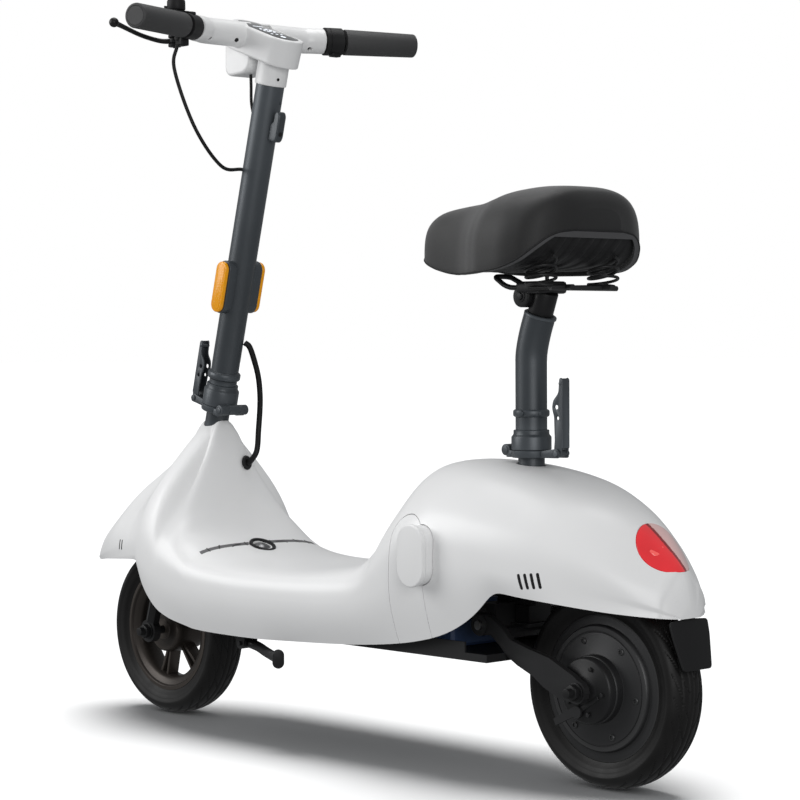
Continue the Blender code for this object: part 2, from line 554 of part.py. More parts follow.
# ---------------------------------------------------------------- fold joints of the stem and the seat post
def fold_joint(prefix, at, turn, reach, half, collar_top, neck_low):
    """Lower half, upper half and pin of a fold joint: the pin lies behind the tube, on local -X."""
    base = turned(f"{prefix}_base", ((NECK_RADIUS, -0.0095), (NECK_RADIUS, neck_low), (STEERER_RADIUS + GAP, neck_low),
                                     (STEERER_RADIUS + GAP, -0.0095)), finish="slate_paint", at=at, turn=turn)
    frame = base.matrix_basis.copy()

    def local(piece, x=0.0, y=0.0, z=0.0, spin=(0, 0, 0)):
        piece.matrix_world = frame @ Matrix.Translation((x, y, z)) @ Matrix.Rotation(spin[0], 4, "X")
        return piece

    fuse(base, local(rod(f"{prefix}_seat", 0.0260, 0.0092), z=-0.0049))
    upper = turned(f"{prefix}_collar", ((0.0, collar_top), (0.0232, collar_top), (0.0232, collar_top - 0.006),
                                        (0.0260, collar_top - 0.009), (0.0260, 0.0003), (0.0, 0.0003)),
                   finish="slate_paint", at=at, turn=turn)
    ends = (half + 0.0095) / 2
    for hand in (1, -1):
        knuckle = local(rod(f"{prefix}_knuckle_{hand}", 0.0075, half - 0.0097, sides=20), -reach, ends * hand, 0,
                        (pi / 2,))
        web = local(box(f"{prefix}_web_{hand}", (0.012, half - 0.0099, 0.0090)), 0.007 - reach, ends * hand, -0.0050)
        fuse(base, knuckle, web)
        cut(upper, local(rod(f"{prefix}_relief_{hand}", 0.0082, half - 0.0075, sides=20), -reach,
                         ends * hand + 0.0008 * hand, 0, (pi / 2,)))
    cut(base, local(rod(f"{prefix}_relief", 0.0082, 0.0196, sides=20), -reach, 0, 0, (pi / 2,)))
    fuse(upper, local(rod(f"{prefix}_middle", 0.0075, 0.0184, sides=20), -reach, 0, 0, (pi / 2,)),
         local(box(f"{prefix}_tab", (0.014, 0.0182, 0.0068)), 0.008 - reach, 0, 0.0041))
    for piece, radius in ((base, 0.0037), (upper, 0.0037)):
        cut(piece, local(rod(f"{piece.name}_bore", radius, 0.08, sides=16), -reach, 0, 0, (pi / 2,)))
    pin = local(rod(f"{prefix}_hinge_pin", 0.0033, 2 * half, sides=16, finish="steel"), -reach, 0, 0, (pi / 2,))
    return base, upper, pin, local


STEM_JOINT = stem_point(STEM_HINGE[0])
stem_base, stem_collar, stem_hinge_pin, stem_local = fold_joint(
    "stem", STEM_JOINT, ALONG_STEM, STEM_HINGE[1], 0.0255, 0.0320, -0.0349)
SEAT_JOINT = place(SEAT_POST_X, 0, SEAT_HINGE[0])
seat_base, seat_collar, seat_hinge_pin, seat_local = fold_joint(
    "seat", SEAT_JOINT, (0, 0, pi), SEAT_HINGE[1], 0.0175, 0.0260, -0.1150)


# ---------------------------------------------------------------- stem
STEM_BOTTOM = STEM_HINGE[0] + 0.0324
STEM_TOP = 0.8300
RING_RADIUS = 0.0242
stem_tube = turned("stem_tube", ((0.0, STEM_TOP), (STEM_RADIUS, STEM_TOP), (STEM_RADIUS, 0.4025),
                                 (RING_RADIUS, 0.4000), (RING_RADIUS, 0.3930), (STEM_RADIUS, 0.3905),
                                 (STEM_RADIUS, STEM_BOTTOM), (0.0, STEM_BOTTOM)),
                   steps=24, finish="slate_paint", at=stem_point(0), turn=ALONG_STEM)
reflectors = []
for hand, label in ((1, "left"), (-1, "right")):
    base_outline = stadium(0, 0, 0.026, 0.078)
    pad = plate(f"reflector_base_{label}", base_outline, 0.016, at=stem_point(0.5300, 0, 0.0230 * hand),
                turn=(pi / 2, -STEM_LEAN, 0))
    fuse(stem_tube, pad)
    lens = plate(f"reflector_{label}", stadium(0, 0, 0.024, 0.075), 0.0060, "amber_lens",
                 at=stem_point(0.5300, 0, 0.03435 * hand), turn=(pi / 2, -STEM_LEAN, 0))
    round_edges(lens, 0.0018)
    reflectors.append(lens)
cut(stem_tube, rod("stem_bore", 0.0170, 0.60, at=stem_point(0.6000), turn=ALONG_STEM))
hook_outline = [(-0.0208, -0.018), (-0.0208, 0.006), (-0.0265, 0.010), (-0.0265, 0.019), (-0.0300, 0.024),
                (-0.0350, 0.024), (-0.0385, 0.019), (-0.0385, -0.010), (-0.0350, -0.018)]
bag_hook = plate("bag_hook", hook_outline, 0.014, "slate_paint", at=stem_point(0.7700),
                 turn=(pi / 2, -STEM_LEAN, 0))
round_edges(bag_hook, 0.0015)


# ---------------------------------------------------------------- handlebar and head
def bar_point(x, y, lift=0.0):
    return place(x, y, BAR_HEIGHT + lift)


def bar_frame(index, share, hand):
    """A point on the bar between two of its own points, and the turn that lays Z along it."""
    a, b = (Vector((BAR_POINTS[i][0], BAR_POINTS[i][1] * hand, 0)) for i in (index, index + 1))
    mid = a.lerp(b, share)
    return bar_point(mid.x, mid.y), (b - a).to_track_quat("Z", "Y").to_euler()


left_side = [bar_point(x, y) for x, y in BAR_POINTS]
right_side = [bar_point(x, -y) for x, y in reversed(BAR_POINTS[1:])]
handlebar = tube("handlebar", right_side + left_side, BAR_RADIUS, "black_steel")

HEAD_CENTRE = (0.6660, 0.9885)
HEAD_TURN = (0, -HEAD_PITCH, 0)
head_outline = arc(0.040, 0, 0.0275, -90, 90, 9) + arc(-0.040, 0, 0.0275, 90, 270, 9)
head_housing = plate("head_housing", head_outline, 0.0400, "white_plastic", turn=HEAD_TURN,
                     at=place(HEAD_CENTRE[0], 0, HEAD_CENTRE[1]))
arm_lines = [[bar_point(x, y * hand) for x, y in ((0.6915, 0.010), (0.691, 0.085), (0.683, 0.105), (0.6765, 0.121))]
             for hand in (1, -1)]
for label, arm_line in zip(("left", "right"), arm_lines):
    fuse(head_housing, tube(f"arm_{label}", arm_line, 0.0186, sides=4))
fuse(head_housing,
     rod("head_neck", 0.0228, 0.050, at=stem_point(0.8520), turn=ALONG_STEM),
     plate("lamp_pod", [(0.0235, 0.0230), (-0.0240, 0.0230)] + arc(-0.0060, 0.0, 0.0180, 180, 270, 6)
           + arc(0.0115, -0.0060, 0.0120, 270, 360, 5), 0.044, at=place(0.7070, 0, 0.9620)))
cut(head_housing,
    tube("bar_bore", [p.copy() for p in right_side[1:] + left_side[:-1]], BAR_RADIUS + 0.0004),
    rod("neck_bore_top", STEM_RADIUS + 0.0004, 0.060, at=stem_point(0.8070), turn=ALONG_STEM),
    plate("display_well", arc(0.036, 0, 0.0225, -90, 90, 8) + arc(-0.036, 0, 0.0225, 90, 270, 8), 0.0060,
          turn=HEAD_TURN, at=place(HEAD_CENTRE[0] - 0.0200 * sin(HEAD_PITCH), 0,
                                   HEAD_CENTRE[1] + 0.0200 * cos(HEAD_PITCH))),
    rod("lamp_socket", 0.0160, 0.010, turn=(0, pi / 2, 0), at=place(0.7300, 0, 0.9640)))
display = plate("display", arc(0.036, 0, 0.0220, -90, 90, 8) + arc(-0.036, 0, 0.0220, 90, 270, 8), 0.0026,
                "display_glass", turn=HEAD_TURN, at=place(HEAD_CENTRE[0] - 0.0186 * sin(HEAD_PITCH), 0,
                                                          HEAD_CENTRE[1] + 0.0186 * cos(HEAD_PITCH)))
headlamp = turned("headlamp", ((0.0, 0.7345), (0.009, 0.7340), (0.0155, 0.7310), (0.0155, 0.7256), (0.0, 0.7256)),
                  finish="clear_lens", at=place(0, 0, 0.9640), turn=(0, pi / 2, 0))


# ---------------------------------------------------------------- controls on the bar
def sleeve(name, outer, length, at, turn, finish, bore=BAR_RADIUS + 0.0003, end=None):
    """A tube over the bar, round its own Z."""
    h = length / 2
    end = outer if end is None else end
    return turned(name, ((end, h), (outer, -h), (bore, -h), (bore, h)), finish=finish, at=at, turn=turn)


grip_at, grip_turn = bar_frame(3, 0.5, 1)
grip_left = turned("grip_left", ((0.0, 0.0596), (0.0165, 0.0596), (0.0174, 0.0580), (0.0172, -0.0560),
                                 (0.0114, -0.0560), (0.0114, 0.0575), (0.0, 0.0575)), finish="grip_rubber",
                   at=grip_at, turn=grip_turn)
throttle_at, throttle_turn = bar_frame(3, 0.5, -1)
throttle_grip = turned("throttle_grip", ((0.0, 0.0596), (0.0165, 0.0596), (0.0174, 0.0580), (0.0190, -0.0560),
                                         (0.0114, -0.0560), (0.0114, 0.0575), (0.0, 0.0575)), finish="grip_rubber",
                       at=throttle_at, turn=throttle_turn)
collar_at, collar_turn = bar_frame(2, 0.66, -1)
throttle_housing = sleeve("throttle_housing", 0.0205, 0.0270, collar_at, collar_turn, "black_plastic")
perch_at, perch_turn = bar_frame(2, 0.66, 1)
brake_perch = sleeve("brake_perch", 0.0178, 0.0250, perch_at, perch_turn, "black_plastic")
LEVER_PIVOT = Vector((perch_at.x + 0.0300, perch_at.y + 0.0020, perch_at.z - 0.0180))
fuse(brake_perch, tube("perch_arm", [perch_at + Vector((0.010, 0.002, -0.006)), LEVER_PIVOT + Vector((0.004, 0, 0))],
                       0.0095, sides=2))
cut(brake_perch, rod("perch_bore", BAR_RADIUS + 0.0003, 0.06, at=perch_at, turn=perch_turn),
    box("lever_slot", (0.050, 0.040, 0.0076), at=LEVER_PIVOT + Vector((0.014, 0.006, 0))))
brake_lever = tube("brake_lever", smooth_path([LEVER_PIVOT, LEVER_PIVOT + Vector((0.012, 0.016, 0.000)),
                                               LEVER_PIVOT + Vector((0.018, 0.045, 0.006)),
                                               LEVER_PIVOT + Vector((0.008, 0.085, 0.014)),
                                               LEVER_PIVOT + Vector((0.001, 0.104, 0.017))], 9),
                   0.0034, "black_steel", sides=2)
fuse(brake_lever, rod("lever_eye", 0.0080, 0.0068, at=LEVER_PIVOT),
     rod("lever_ball", 0.0068, 0.0110, at=LEVER_PIVOT + Vector((0.0005, 0.106, 0.0172)), turn=ALONG_Y, sides=16))
cut(brake_lever, rod("lever_bore", 0.0026, 0.03, sides=12, at=LEVER_PIVOT))
cut(brake_perch, rod("button_recess", 0.0054, 0.010, at=perch_at + Vector((-0.0020, -0.0020, 0.0194))))
fuse(brake_perch, rod("lever_pin", 0.0022, 0.0200, sides=12, at=LEVER_PIVOT))
BELL_AT = perch_at + Vector((0.002, 0.0210, 0.0304))
bell = turned("bell", ((0.0, 0.0080), (0.0090, 0.0070), (0.0125, 0.0030), (0.0130, -0.0090), (0.0110, -0.0100),
                       (0.0, -0.0100)), finish="black_plastic", at=BELL_AT)
fuse(brake_perch, box("bell_post", (0.012, 0.0050, 0.0060), at=perch_at + Vector((0.002, 0.0082, 0.0170))),
     box("bell_bracket", (0.0320, 0.0260, 0.0018), at=perch_at + Vector((0.0070, 0.0188, 0.0190))))
horn_button = rod("horn_button", 0.0050, 0.0040, sides=20, finish="black_plastic",
                  at=perch_at + Vector((-0.0020, -0.0020, 0.0188)))

brake_hinge = joint("brake_lever_pivot", LEVER_PIVOT, [brake_lever])
throttle_hinge = joint("throttle_twist", throttle_at, [throttle_grip], turn=throttle_turn)
horn_travel = joint("horn_button_travel", horn_button.location, [horn_button])

# ---------------------------------------------------------------- latch levers
def latch(prefix, local, out, tall):
    """A folding lever that locks the joint, on local +X, with its pivot at the joint's height."""
    lever = local(plate(f"{prefix}_latch", [(0.0035, -0.006), (0.0070, 0.000), (0.0085, 0.030), (0.0085, tall),
                                            (0.0060, tall + 0.004), (0.0030, tall + 0.002), (0.0015, tall - 0.016),
                                            (-0.0080, tall - 0.026), (-0.0095, tall - 0.036), (-0.0060, tall - 0.046),
                                            (-0.0050, 0.014), (-0.0065, -0.002), (-0.0030, -0.007)], 0.0140,
                        "slate_paint", turn=(0, 0, 0)), out, 0, 0, (pi / 2,))
    bracket = local(box(f"{prefix}_latch_ear", (out - 0.0210, 0.0200, 0.0080)), (out - 0.0210) / 2 + 0.0235, 0,
                    -0.0050)
    return lever, bracket


stem_latch, stem_ear = latch("stem", stem_local, 0.0500, 0.0800)
seat_latch, seat_ear = latch("seat", seat_local, 0.0520, 0.0900)
for base, ear, local, out in ((stem_base, stem_ear, stem_local, 0.0500), (seat_base, seat_ear, seat_local, 0.0520)):
    fuse(base, ear)
    cut(base, local(box(f"{base.name}_slot", (0.030, 0.0148, 0.030)), out + 0.004, 0, 0.002),
        local(rod(f"{base.name}_latch_bore", 0.0022, 0.05, sides=12), out, 0, -0.0040, (pi / 2,)))

# ---------------------------------------------------------------- fork and front wheel
FRONT_AXLE = place(WHEELBASE, 0, WHEEL_RADIUS)
LEG_Y = 0.0520
fork = rod("fork", STEERER_RADIUS, 0.3385 - 0.1650, finish="black_steel", at=stem_point((0.3385 + 0.1650) / 2),
           turn=ALONG_STEM)
fuse(fork, box("crown", (0.034, 2 * LEG_Y + 0.020, 0.018), at=stem_point(0.1700, 0.002), turn=ALONG_STEM),
     rod("crown_race", 0.0230, 0.0250, at=stem_point(0.1920), turn=ALONG_STEM))
for hand, label in ((1, "left"), (-1, "right")):
    leg = tube(f"leg_{label}", [stem_point(0.1720, 0.002, LEG_Y * hand), stem_point(0.090, 0.0085, LEG_Y * hand),
                                stem_point(0.0115, 0.0125, LEG_Y * hand)], 0.0105, sides=1)
    lug = rod(f"dropout_{label}", 0.0170, 0.0120, at=FRONT_AXLE + Vector((0, LEG_Y * hand, 0)), turn=ALONG_Y)
    fuse(fork, leg, lug)
cut(fork, rod("fork_axle_bore", 0.0063, 0.20, at=FRONT_AXLE, turn=ALONG_Y))


def axle(name, at, half, nut_inner):
    shaft = rod(name, 0.0060, 2 * half, sides=20, finish="steel", at=at, turn=ALONG_Y)
    for hand in (1, -1):
        fuse(shaft, rod(f"{name}_nut_{hand}", 0.0105, 0.0090, sides=6,
                        at=at + Vector((0, (nut_inner + 0.0045) * hand, 0)), turn=ALONG_Y))
    return shaft


def tyre(name, at):
    profile = []
    for a in np.linspace(-118, 118, 9):
        r = WHEEL_RADIUS - 0.0185 + 0.0185 * abs(cos(radians(a))) ** 0.75 * (1 if abs(a) < 90 else -1)
        profile.append((r, TYRE_HALF_WIDTH * sin(radians(a)) * (1.0 if abs(a) < 90 else 0.93)))
    inner = RIM_RADIUS + 0.0005
    profile = [(inner, -0.0225)] + [(max(r, inner + 0.002), z) for r, z in profile] + [(inner, 0.0225)]
    return turned(name, profile[::-1], steps=28, finish="rubber", at=at, turn=ALONG_Y)


front_axle = axle("front_axle", FRONT_AXLE, 0.0750, 0.0583)
front_tyre = tyre("front_tyre", FRONT_AXLE)
front_rim = turned("front_rim", ((RIM_RADIUS, 0.0230), (RIM_RADIUS, -0.0230), (0.0840, -0.0230), (0.0740, -0.0160),
                                 (0.0700, -0.0060), (0.0700, 0.0060), (0.0740, 0.0160), (0.0840, 0.0230)),
                   steps=28, finish="rim_alloy", at=FRONT_AXLE, turn=ALONG_Y)
for i in range(6):
    spoke = box(f"spoke_{i}", (0.046, 0.016, 0.012), at=FRONT_AXLE, turn=(0, radians(60 * i + 12), 0))
    spoke.location = FRONT_AXLE + Matrix.Rotation(radians(60 * i + 12), 3, "Y") @ Vector((0.051, 0, 0))
    fuse(front_rim, spoke)
fuse(front_rim, rod("front_hub", 0.0330, 0.0600, sides=20, at=FRONT_AXLE, turn=ALONG_Y))
cut(front_rim, rod("front_bore", 0.0064, 0.10, sides=16, at=FRONT_AXLE, turn=ALONG_Y))

# ---------------------------------------------------------------- rear wheel, swingarm, brake
REAR_AXLE = place(0, 0, WHEEL_RADIUS)
PIVOT = place(SWINGARM_PIVOT[0], 0, SWINGARM_PIVOT[1])
rear_axle = axle("rear_axle", REAR_AXLE, 0.0900, 0.0722)
rear_tyre = tyre("rear_tyre", REAR_AXLE)
hub_motor = turned("hub_motor", ((0.0065, 0.0440), (0.0420, 0.0440), (0.0430, 0.0430), (0.0430, 0.0310),
                                 (0.0780, 0.0290), (0.0800, 0.0235), (RIM_RADIUS, 0.0225), (RIM_RADIUS, -0.0225),
                                 (0.0800, -0.0235), (0.0780, -0.0300), (0.0200, -0.0360), (0.0065, -0.0360)),
                   steps=28, finish="motor_alloy", at=REAR_AXLE, turn=(-pi / 2, 0, 0))
brake_plate = rod("brake_plate", 0.0415, 0.0120, sides=32, finish="black_steel",
                  at=REAR_AXLE + Vector((0, 0.0506, 0)), turn=ALONG_Y)
cut(brake_plate, rod("plate_bore", 0.0063, 0.20, at=REAR_AXLE, turn=ALONG_Y))
ARM_AT = REAR_AXLE + Vector((0.0100, 0.0588, -0.0270))
brake_arm = plate("brake_arm", arc(0, 0, 0.0080, 50, 310, 9) + [(0.034, -0.020), (0.038, -0.012)], 0.0028,
                  "black_steel", at=ARM_AT)
brake_arm_joint = joint("brake_arm_pivot", ARM_AT, [brake_arm])

ARM_LINE = [(0.166, 0.210), (0.150, 0.209), (0.128, 0.197), (0.112, 0.182), (0.080, 0.173), (0.045, 0.165),
            (0.005, 0.147)] + arc(0.0, WHEEL_RADIUS, 0.0150, 100, 262, 7) + \
           [(0.030, 0.117), (0.055, 0.128), (0.073, 0.140), (0.100, 0.151), (0.116, 0.160), (0.130, 0.173),
            (0.146, 0.185), (0.160, 0.184)]
swingarm = None
for hand, label in ((1, "left"), (-1, "right")):
    arm = plate(f"arm_plate_{label}", [(x + REAR_AXLE_X, z) for x, z in ARM_LINE], 0.0090, "black_steel",
                at=(0, 0.0667 * hand, 0))
    if swingarm is None:
        swingarm = arm
        swingarm.name = "swingarm"
    else:
        fuse(swingarm, arm)
    fuse(swingarm, rod(f"arm_boss_{label}", 0.0140, 0.0200, at=PIVOT + Vector((0, 0.0620 * hand, 0)), turn=ALONG_Y))
fuse(swingarm, tube("arm_bridge", [place(0.1385, -0.0660, 0.1870), place(0.1385, 0.0660, 0.1870)], 0.0080, sides=2))
cut(swingarm, rod("arm_pivot_bore", 0.0064, 0.20, at=PIVOT, turn=ALONG_Y),
    rod("arm_axle_bore", 0.0063, 0.20, at=REAR_AXLE, turn=ALONG_Y))
swingarm_pin = rod("swingarm_pin", 0.0060, 0.1500, sides=20, finish="steel", at=PIVOT, turn=ALONG_Y)

swingarm_hinge = joint("swingarm_pivot", PIVOT, [swingarm, rear_axle, brake_plate])
rear_wheel = joint("rear_wheel_spin", REAR_AXLE, [rear_tyre, hub_motor], parent=swingarm_hinge)
brake_arm_joint.parent = swingarm_hinge
brake_arm_joint.matrix_parent_inverse = swingarm_hinge.matrix_world.inverted()

# ---------------------------------------------------------------- seat
seat_tube_points = [place(SEAT_POST_X, 0, 0.4448), *smooth_path([place(SEAT_POST_X, 0, 0.520),
                    place(SEAT_POST_X - 0.0008, 0, 0.543), place(0.1335, 0, 0.568), place(0.1245, 0, 0.5925)], 6)]
seat_post = tube("seat_post", seat_tube_points, STEM_RADIUS, "slate_paint", sides=5)
fuse(seat_post, turned("seat_ring", ((0.0225, 0.4705), (0.0232, 0.4680), (0.0232, 0.4640), (0.0225, 0.4615),
                                     (0.0170, 0.4615), (0.0170, 0.4705)), at=place(SEAT_POST_X, 0, 0)))
seat_clamp = rod("seat_clamp", 0.0165, 0.0300, finish="black_steel", at=place(0.1190, 0, 0.6078),
                 turn=(0, radians(-20), 0))
fuse(seat_clamp, box("clamp_head", (0.044, 0.052, 0.016), at=place(0.1220, 0, 0.6270)),
     rod("clamp_ears", 0.0140, 0.0480, at=place(0.1360, 0, 0.6160), turn=ALONG_Y))
RAIL_WIRE = 0.0034
rail_loop = [place(0.034, 0.036, 0.6260), place(0.140, 0.0200, 0.6270), place(0.164, 0.0190, 0.6292),
             place(0.180, 0.0170, 0.6365), place(0.190, 0.0120, 0.6420)]
saddle_rails = tube("saddle_rails", smooth_path(rail_loop + [Vector((p.x, -p.y, p.z)) for p in rail_loop[::-1]], 18),
                    RAIL_WIRE, "black_steel", sides=1)
fuse(saddle_rails, tube("rail_bridge", [place(0.0490, -0.062, 0.6250), place(0.0490, 0.062, 0.6250)], RAIL_WIRE, sides=1))
cut(seat_clamp, tube("rail_way", [p.copy() for p in smooth_path(
    rail_loop + [Vector((p.x, -p.y, p.z)) for p in rail_loop[::-1]], 18)], RAIL_WIRE + 0.0004, sides=2))
SPRING_AT, SPRING_RADIUS = (0.0680, 0.0580), 0.0190
for hand, label in ((1, "left"), (-1, "right")):
    turns = [place(SPRING_AT[0] - SPRING_RADIUS * cos(a), SPRING_AT[1] * hand + SPRING_RADIUS * sin(a),
                   0.6278 + (0.0290 + 0.0085 * cos(a)) * a / (6 * pi)) for a in np.linspace(0, 6 * pi, 25)]
    fuse(saddle_rails, tube(f"saddle_spring_{label}", turns, 0.0020, sides=0))

# Saddle lines, as (share of the length from the tail, value)
SADDLE_TAIL, SADDLE_LENGTH = 0.021, 0.288
SADDLE_WIDTH = ((0, 0.040), (0.02, 0.070), (0.07, 0.098), (0.14, 0.112), (0.24, 0.119), (0.34, 0.117),
                (0.45, 0.102), (0.55, 0.084), (0.65, 0.069), (0.75, 0.060), (0.85, 0.054), (0.93, 0.045),
                (0.98, 0.031), (1, 0.014))
SADDLE_RIM = ((0, 0.697), (0.02, 0.693), (0.07, 0.676), (0.14, 0.659), (0.24, 0.649), (0.34, 0.646),
              (0.45, 0.645), (0.6, 0.645), (0.7, 0.647), (0.8, 0.652), (0.9, 0.660), (1, 0.672))
SADDLE_TOP = ((0, 0.722), (0.01, 0.732), (0.04, 0.744), (0.10, 0.7515), (0.18, 0.7540), (0.30, 0.7520),
              (0.45, 0.7450), (0.60, 0.7385), (0.75, 0.7350), (0.86, 0.7310), (0.93, 0.7240), (0.98, 0.7120),
              (1, 0.6960))


def saddle_piece(name, inset, low, high, finish, rows=15, across=8, shoulder=0.74):
    """A closed body over the saddle's outline, flat below; a smaller shoulder is squarer."""
    bm = bmesh.new()
    loops = []
    for i in range(rows):
        u = 0.5 - 0.5 * cos(pi * i / (rows - 1))
        x = SADDLE_TAIL + inset + (SADDLE_LENGTH - 2 * inset) * u
        u = (x - SADDLE_TAIL) / SADDLE_LENGTH
        width = max(line(SADDLE_WIDTH, u) - inset, 0.004)
        bottom, top = low(u), high(u)
        loop = [bm.verts.new(place(x, width * (1 - 2 * k / 4), bottom)) for k in range(5)]
        for k in range(1, 2 * across):
            a = pi * k / (2 * across)
            y = -width * abs(cos(a)) ** shoulder * (1 if cos(a) >= 0 else -1)
            loop.append(bm.verts.new(place(x, y, bottom + (top - bottom) * sin(a) ** shoulder)))
        loops.append(loop)
    count = len(loops[0])
    for one, two in zip(loops, loops[1:]):
        for k in range(count):
            bm.faces.new((one[k], one[(k + 1) % count], two[(k + 1) % count], two[k]))
    bm.faces.new(loops[0])
    bm.faces.new(loops[-1])
    bmesh.ops.triangulate(bm, faces=bm.faces)
    return from_bmesh(name, bm, finish=finish)


def saddle_rim(u):
    return line(SADDLE_RIM, u)


saddle = saddle_piece("saddle", 0.0, saddle_rim, lambda u: line(SADDLE_TOP, u), "vinyl")
saddle_pan = saddle_piece("saddle_pan", 0.0135, lambda u: saddle_rim(u) + 0.0030, lambda u: saddle_rim(u) + 0.0070,
                          "black_plastic", rows=17, across=4, shoulder=0.12)
cut(saddle, saddle_piece("pan_pocket", 0.0110, lambda u: saddle_rim(u) - 0.0200, lambda u: saddle_rim(u) + 0.0090,
                         None, rows=17, across=4, shoulder=0.12))
seat_fold = joint("seat_fold_pivot", SEAT_JOINT + Vector((SEAT_HINGE[1], 0, 0)),
                  [seat_collar, seat_post, seat_clamp, saddle_rails, saddle, saddle_pan])

# ---------------------------------------------------------------- steering and stem joints
steering = joint("steering_axis", stem_point(0), [fork, front_axle, stem_base, stem_hinge_pin], turn=ALONG_STEM)
front_wheel = joint("front_wheel_spin", FRONT_AXLE, [front_tyre, front_rim], parent=steering)
stem_fold = joint("stem_fold_pivot", stem_point(STEM_HINGE[0], -STEM_HINGE[1]),
                  [stem_collar, stem_tube, bag_hook, *reflectors, handlebar, head_housing, display, headlamp,
                   grip_left, throttle_housing, brake_perch, bell], parent=steering)
for empty in (brake_hinge, throttle_hinge, horn_travel):
    empty.parent = stem_fold
    empty.matrix_parent_inverse = stem_fold.matrix_world.inverted()
stem_latch_pivot = joint("stem_latch_pivot", stem_latch.matrix_world.translation.copy(), [stem_latch], parent=steering)
seat_latch_pivot = joint("seat_latch_pivot", seat_latch.matrix_world.translation.copy(), [seat_latch])

# ---------------------------------------------------------------- suspension block, lock, cables
fuse(swingarm, box("block_seat", (0.030, 0.050, 0.0050), at=place(0.1385, 0, 0.1945)))
suspension_block = box("suspension_block", (0.024, 0.040, 0.0219), finish="rubber", at=place(0.1385, 0, 0.20865))
lock_core = turned("lock_core", ((0.0, 0.0060), (0.0050, 0.0056), (0.0095, 0.0040), (0.0118, 0.0010),
                                 (0.0118, -0.0140), (0.0, -0.0140)), finish="steel",
                   at=place(LOCK[0], 0, LOCK[1]), turn=(0, LOCK_TILT, 0))
main_cable = tube("main_cable", smooth_path([place(0.7355, -0.0160, 0.5580), place(0.7320, -0.0226, 0.5510),
                                             place(0.7313, -0.0317, 0.5280), place(0.7315, -0.0384, 0.5058),
                                             place(0.7342, -0.0434, 0.4805), place(0.7385, -0.0465, 0.4581),
                                             place(0.7405, -0.0455, 0.4300), place(0.7350, -0.0370, 0.3980),
                                             CABLE_ENTRY + CABLE_NORMAL * 0.008], 20)
                  + [CABLE_ENTRY - CABLE_NORMAL * 0.010], 0.0042, "rubber", sides=1)
brake_cable = tube("brake_cable", smooth_path([perch_at + Vector((0.014, 0.010, -0.0250)),
                                               perch_at + Vector((0.016, 0.014, -0.060)),
                                               perch_at + Vector((0.002, -0.010, -0.140)),
                                               place(0.670, 0.080, 0.810), stem_point(0.700, 0.0235, 0.008)], 20),
                   0.0026, "rubber", sides=1)
cable_grommet = turned("cable_grommet", ((0.0050, 0.0040), (0.0095, 0.0040), (0.0110, 0.0018), (0.0068, 0.0018),
                                        (0.0068, -0.0050), (0.0050, -0.0050)), steps=16, finish="black_plastic",
                       at=CABLE_ENTRY, turn=CABLE_NORMAL.to_track_quat("Z", "X").to_euler())
STRIKER_PIVOT = BELL_AT + Vector((0.0180, -0.0055, -0.0055))
bell_striker = rod("bell_striker", 0.0022, 0.0080, sides=10, finish="black_plastic", at=STRIKER_PIVOT)
fuse(bell_striker, box("striker_tab", (0.0028, 0.0120, 0.0068), at=STRIKER_PIVOT + Vector((0, 0.0060, 0))))
striker_pivot = joint("bell_striker_pivot", STRIKER_PIVOT, [bell_striker], parent=stem_fold)
lock_turn = joint("lock_turn", lock_core.location.copy(), [lock_core], turn=(0, LOCK_TILT, 0))
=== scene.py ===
"""The look of the seated electric scooter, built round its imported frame.

Metres, +Z up, +X forwards, +Y to the rider's left. Lengths along the scooter are written from
the rear axle and moved into the frame by place().
"""
import json
from math import cos, exp, pi, radians, sin

import bmesh
import bpy
import numpy as np
from mathutils import Matrix, Vector


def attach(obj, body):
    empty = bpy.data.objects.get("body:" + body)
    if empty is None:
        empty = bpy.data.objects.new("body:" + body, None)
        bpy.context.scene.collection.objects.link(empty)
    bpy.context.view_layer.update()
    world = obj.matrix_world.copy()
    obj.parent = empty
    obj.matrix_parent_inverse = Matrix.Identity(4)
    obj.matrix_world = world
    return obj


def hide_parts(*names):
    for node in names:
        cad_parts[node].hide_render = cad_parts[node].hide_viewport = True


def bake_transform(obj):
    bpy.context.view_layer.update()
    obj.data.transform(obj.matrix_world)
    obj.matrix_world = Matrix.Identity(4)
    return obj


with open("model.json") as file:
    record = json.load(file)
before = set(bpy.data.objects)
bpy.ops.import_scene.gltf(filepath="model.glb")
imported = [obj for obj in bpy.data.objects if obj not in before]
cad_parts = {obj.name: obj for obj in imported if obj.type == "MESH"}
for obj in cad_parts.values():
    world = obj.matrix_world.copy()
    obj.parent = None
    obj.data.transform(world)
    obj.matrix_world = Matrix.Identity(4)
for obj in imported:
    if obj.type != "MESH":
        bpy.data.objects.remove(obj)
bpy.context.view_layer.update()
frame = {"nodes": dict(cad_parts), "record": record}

# Driving dimensions, as in the CAD
REAR_AXLE_X = -0.4557
WHEELBASE = 0.8783
WHEEL_RADIUS = 0.127
TYRE_HALF_WIDTH = 0.031
RIM_RADIUS = 0.092
STEM_LEAN = radians(14.7)
AXLE_OFFSET = 0.0133
STEM_RADIUS = 0.0205
SEAT_POST_X = 0.1405
BAR_POINTS = ((0.692, 0.0), (0.691, 0.085), (0.683, 0.105), (0.6655, 0.15), (0.63, 0.2585))
BAR_HEIGHT = 1.003
BAR_RADIUS = 0.0111
HEAD_PITCH = radians(20.0)
HEAD_CENTRE = (0.666, 0.9885)
ALONG_Y = (pi / 2, 0, 0)
ALONG_STEM = (0, -STEM_LEAN, 0)
BESIDE_STEM = (pi / 2, -STEM_LEAN, 0)
BEHIND_STEM = (0, pi / 2 - STEM_LEAN, 0)
STEM_JOINT_UP = 0.3513          # up the stem from the front axle's height
SEAT_JOINT_HEIGHT = 0.4185
SADDLE_TILT = (0, radians(-20), 0)

